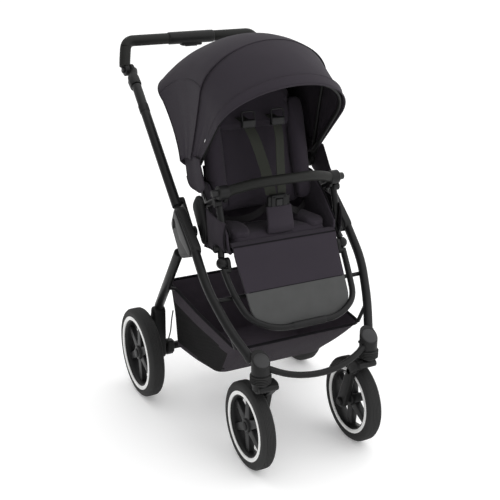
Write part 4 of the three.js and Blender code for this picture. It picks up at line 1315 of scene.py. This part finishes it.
def netted_side(face):
    """Whether a face of the tub lies in the window of net in its side wall."""
    spot = face.calc_center_median()
    rim_height = 0.345 + (spot.y + 0.29) * 0.089
    depth = (rim_height - spot.z) / (rim_height - 0.176)
    return abs(face.normal.x) > 0.45 and 0.26 < depth < 0.93 and mix(-0.262, -0.112, depth) < spot.y < 0.145


def make_basket():
    """Cloth tub with net windows and a bound rim; inside, a lighter copy of the cloth paints light over the
    shade.
    """
    tub = grid(LOOP_STOPS, 44, basket_place)
    bmesh.ops.remove_doubles(tub, verts=tub.verts, dist=2e-4)
    outward(tub, (0, 0, 0.33))
    for face in tub.faces:
        face.material_index = BASKET_FACES.index(NET) if netted_side(face) else 0
    basket = finish_piece("basket_cloth", tub, BASKET_FACES[0], "chassis", ["basket"], 0)
    declare_sheet(basket, 0.82, 0.7, "hung", ["basket_binding"])
    for cloth in BASKET_FACES[1:]:
        basket.data.materials.append(cloth)
    # The inner wall takes the next material along: the basket cloth painted lighter against the shade inside.
    wall = basket.modifiers.new("wall", "SOLIDIFY")
    wall.thickness, wall.offset, wall.material_offset = 0.0022, -1, 1
    piped("basket_binding", RIM_LOOP, 0.0042, "chassis")


def make_basket_clip(name, side, i, low, high):
    """Short strap from the rim to the frame, with a round clip at its end."""
    strap = sweep(even_line(sided([low, high], side), 6), 0.0055, 12)
    clip = drum(0.0085, side * (high[0] - 0.006), side * (high[0] + 0.004), high[1], high[2], 0.002, 28)
    finish_piece(f"basket_clip_{name}_{i}", joined(strap, clip), LEVER, "chassis")


make_basket()
for name, side in SIDES:
    make_basket_clip(name, side, 0, (0.193, -0.283, 0.346), (0.215, -0.291, 0.405))
    make_basket_clip(name, side, 1, (0.203, 0.10, 0.378), (0.2165, 0.128, 0.376))

# ---- Floor ----
FLOOR_SIZE = 40


def make_floor():
    """Plain pale floor to stand on."""
    pale = bpy.data.materials.new("pale_floor")
    pale.use_nodes = True
    for socket, value in (("Base Color", (0.95, 0.95, 0.95, 1)), ("Roughness", 0.9),
                          ("Emission Color", (1, 1, 1, 1)), ("Emission Strength", 0.18)):
        pale.node_tree.nodes["Principled BSDF"].inputs[socket].default_value = value
    slab = grid(2, 2, lambda u, v: Vector((FLOOR_SIZE * (u - 0.5), FLOOR_SIZE * (v - 0.5), 0)))
    floor = bpy.data.objects.new("floor", bpy.data.meshes.new("floor"))
    slab.to_mesh(floor.data)
    slab.free()
    floor.data.materials.append(pale)
    bpy.context.collection.objects.link(floor)


make_floor()
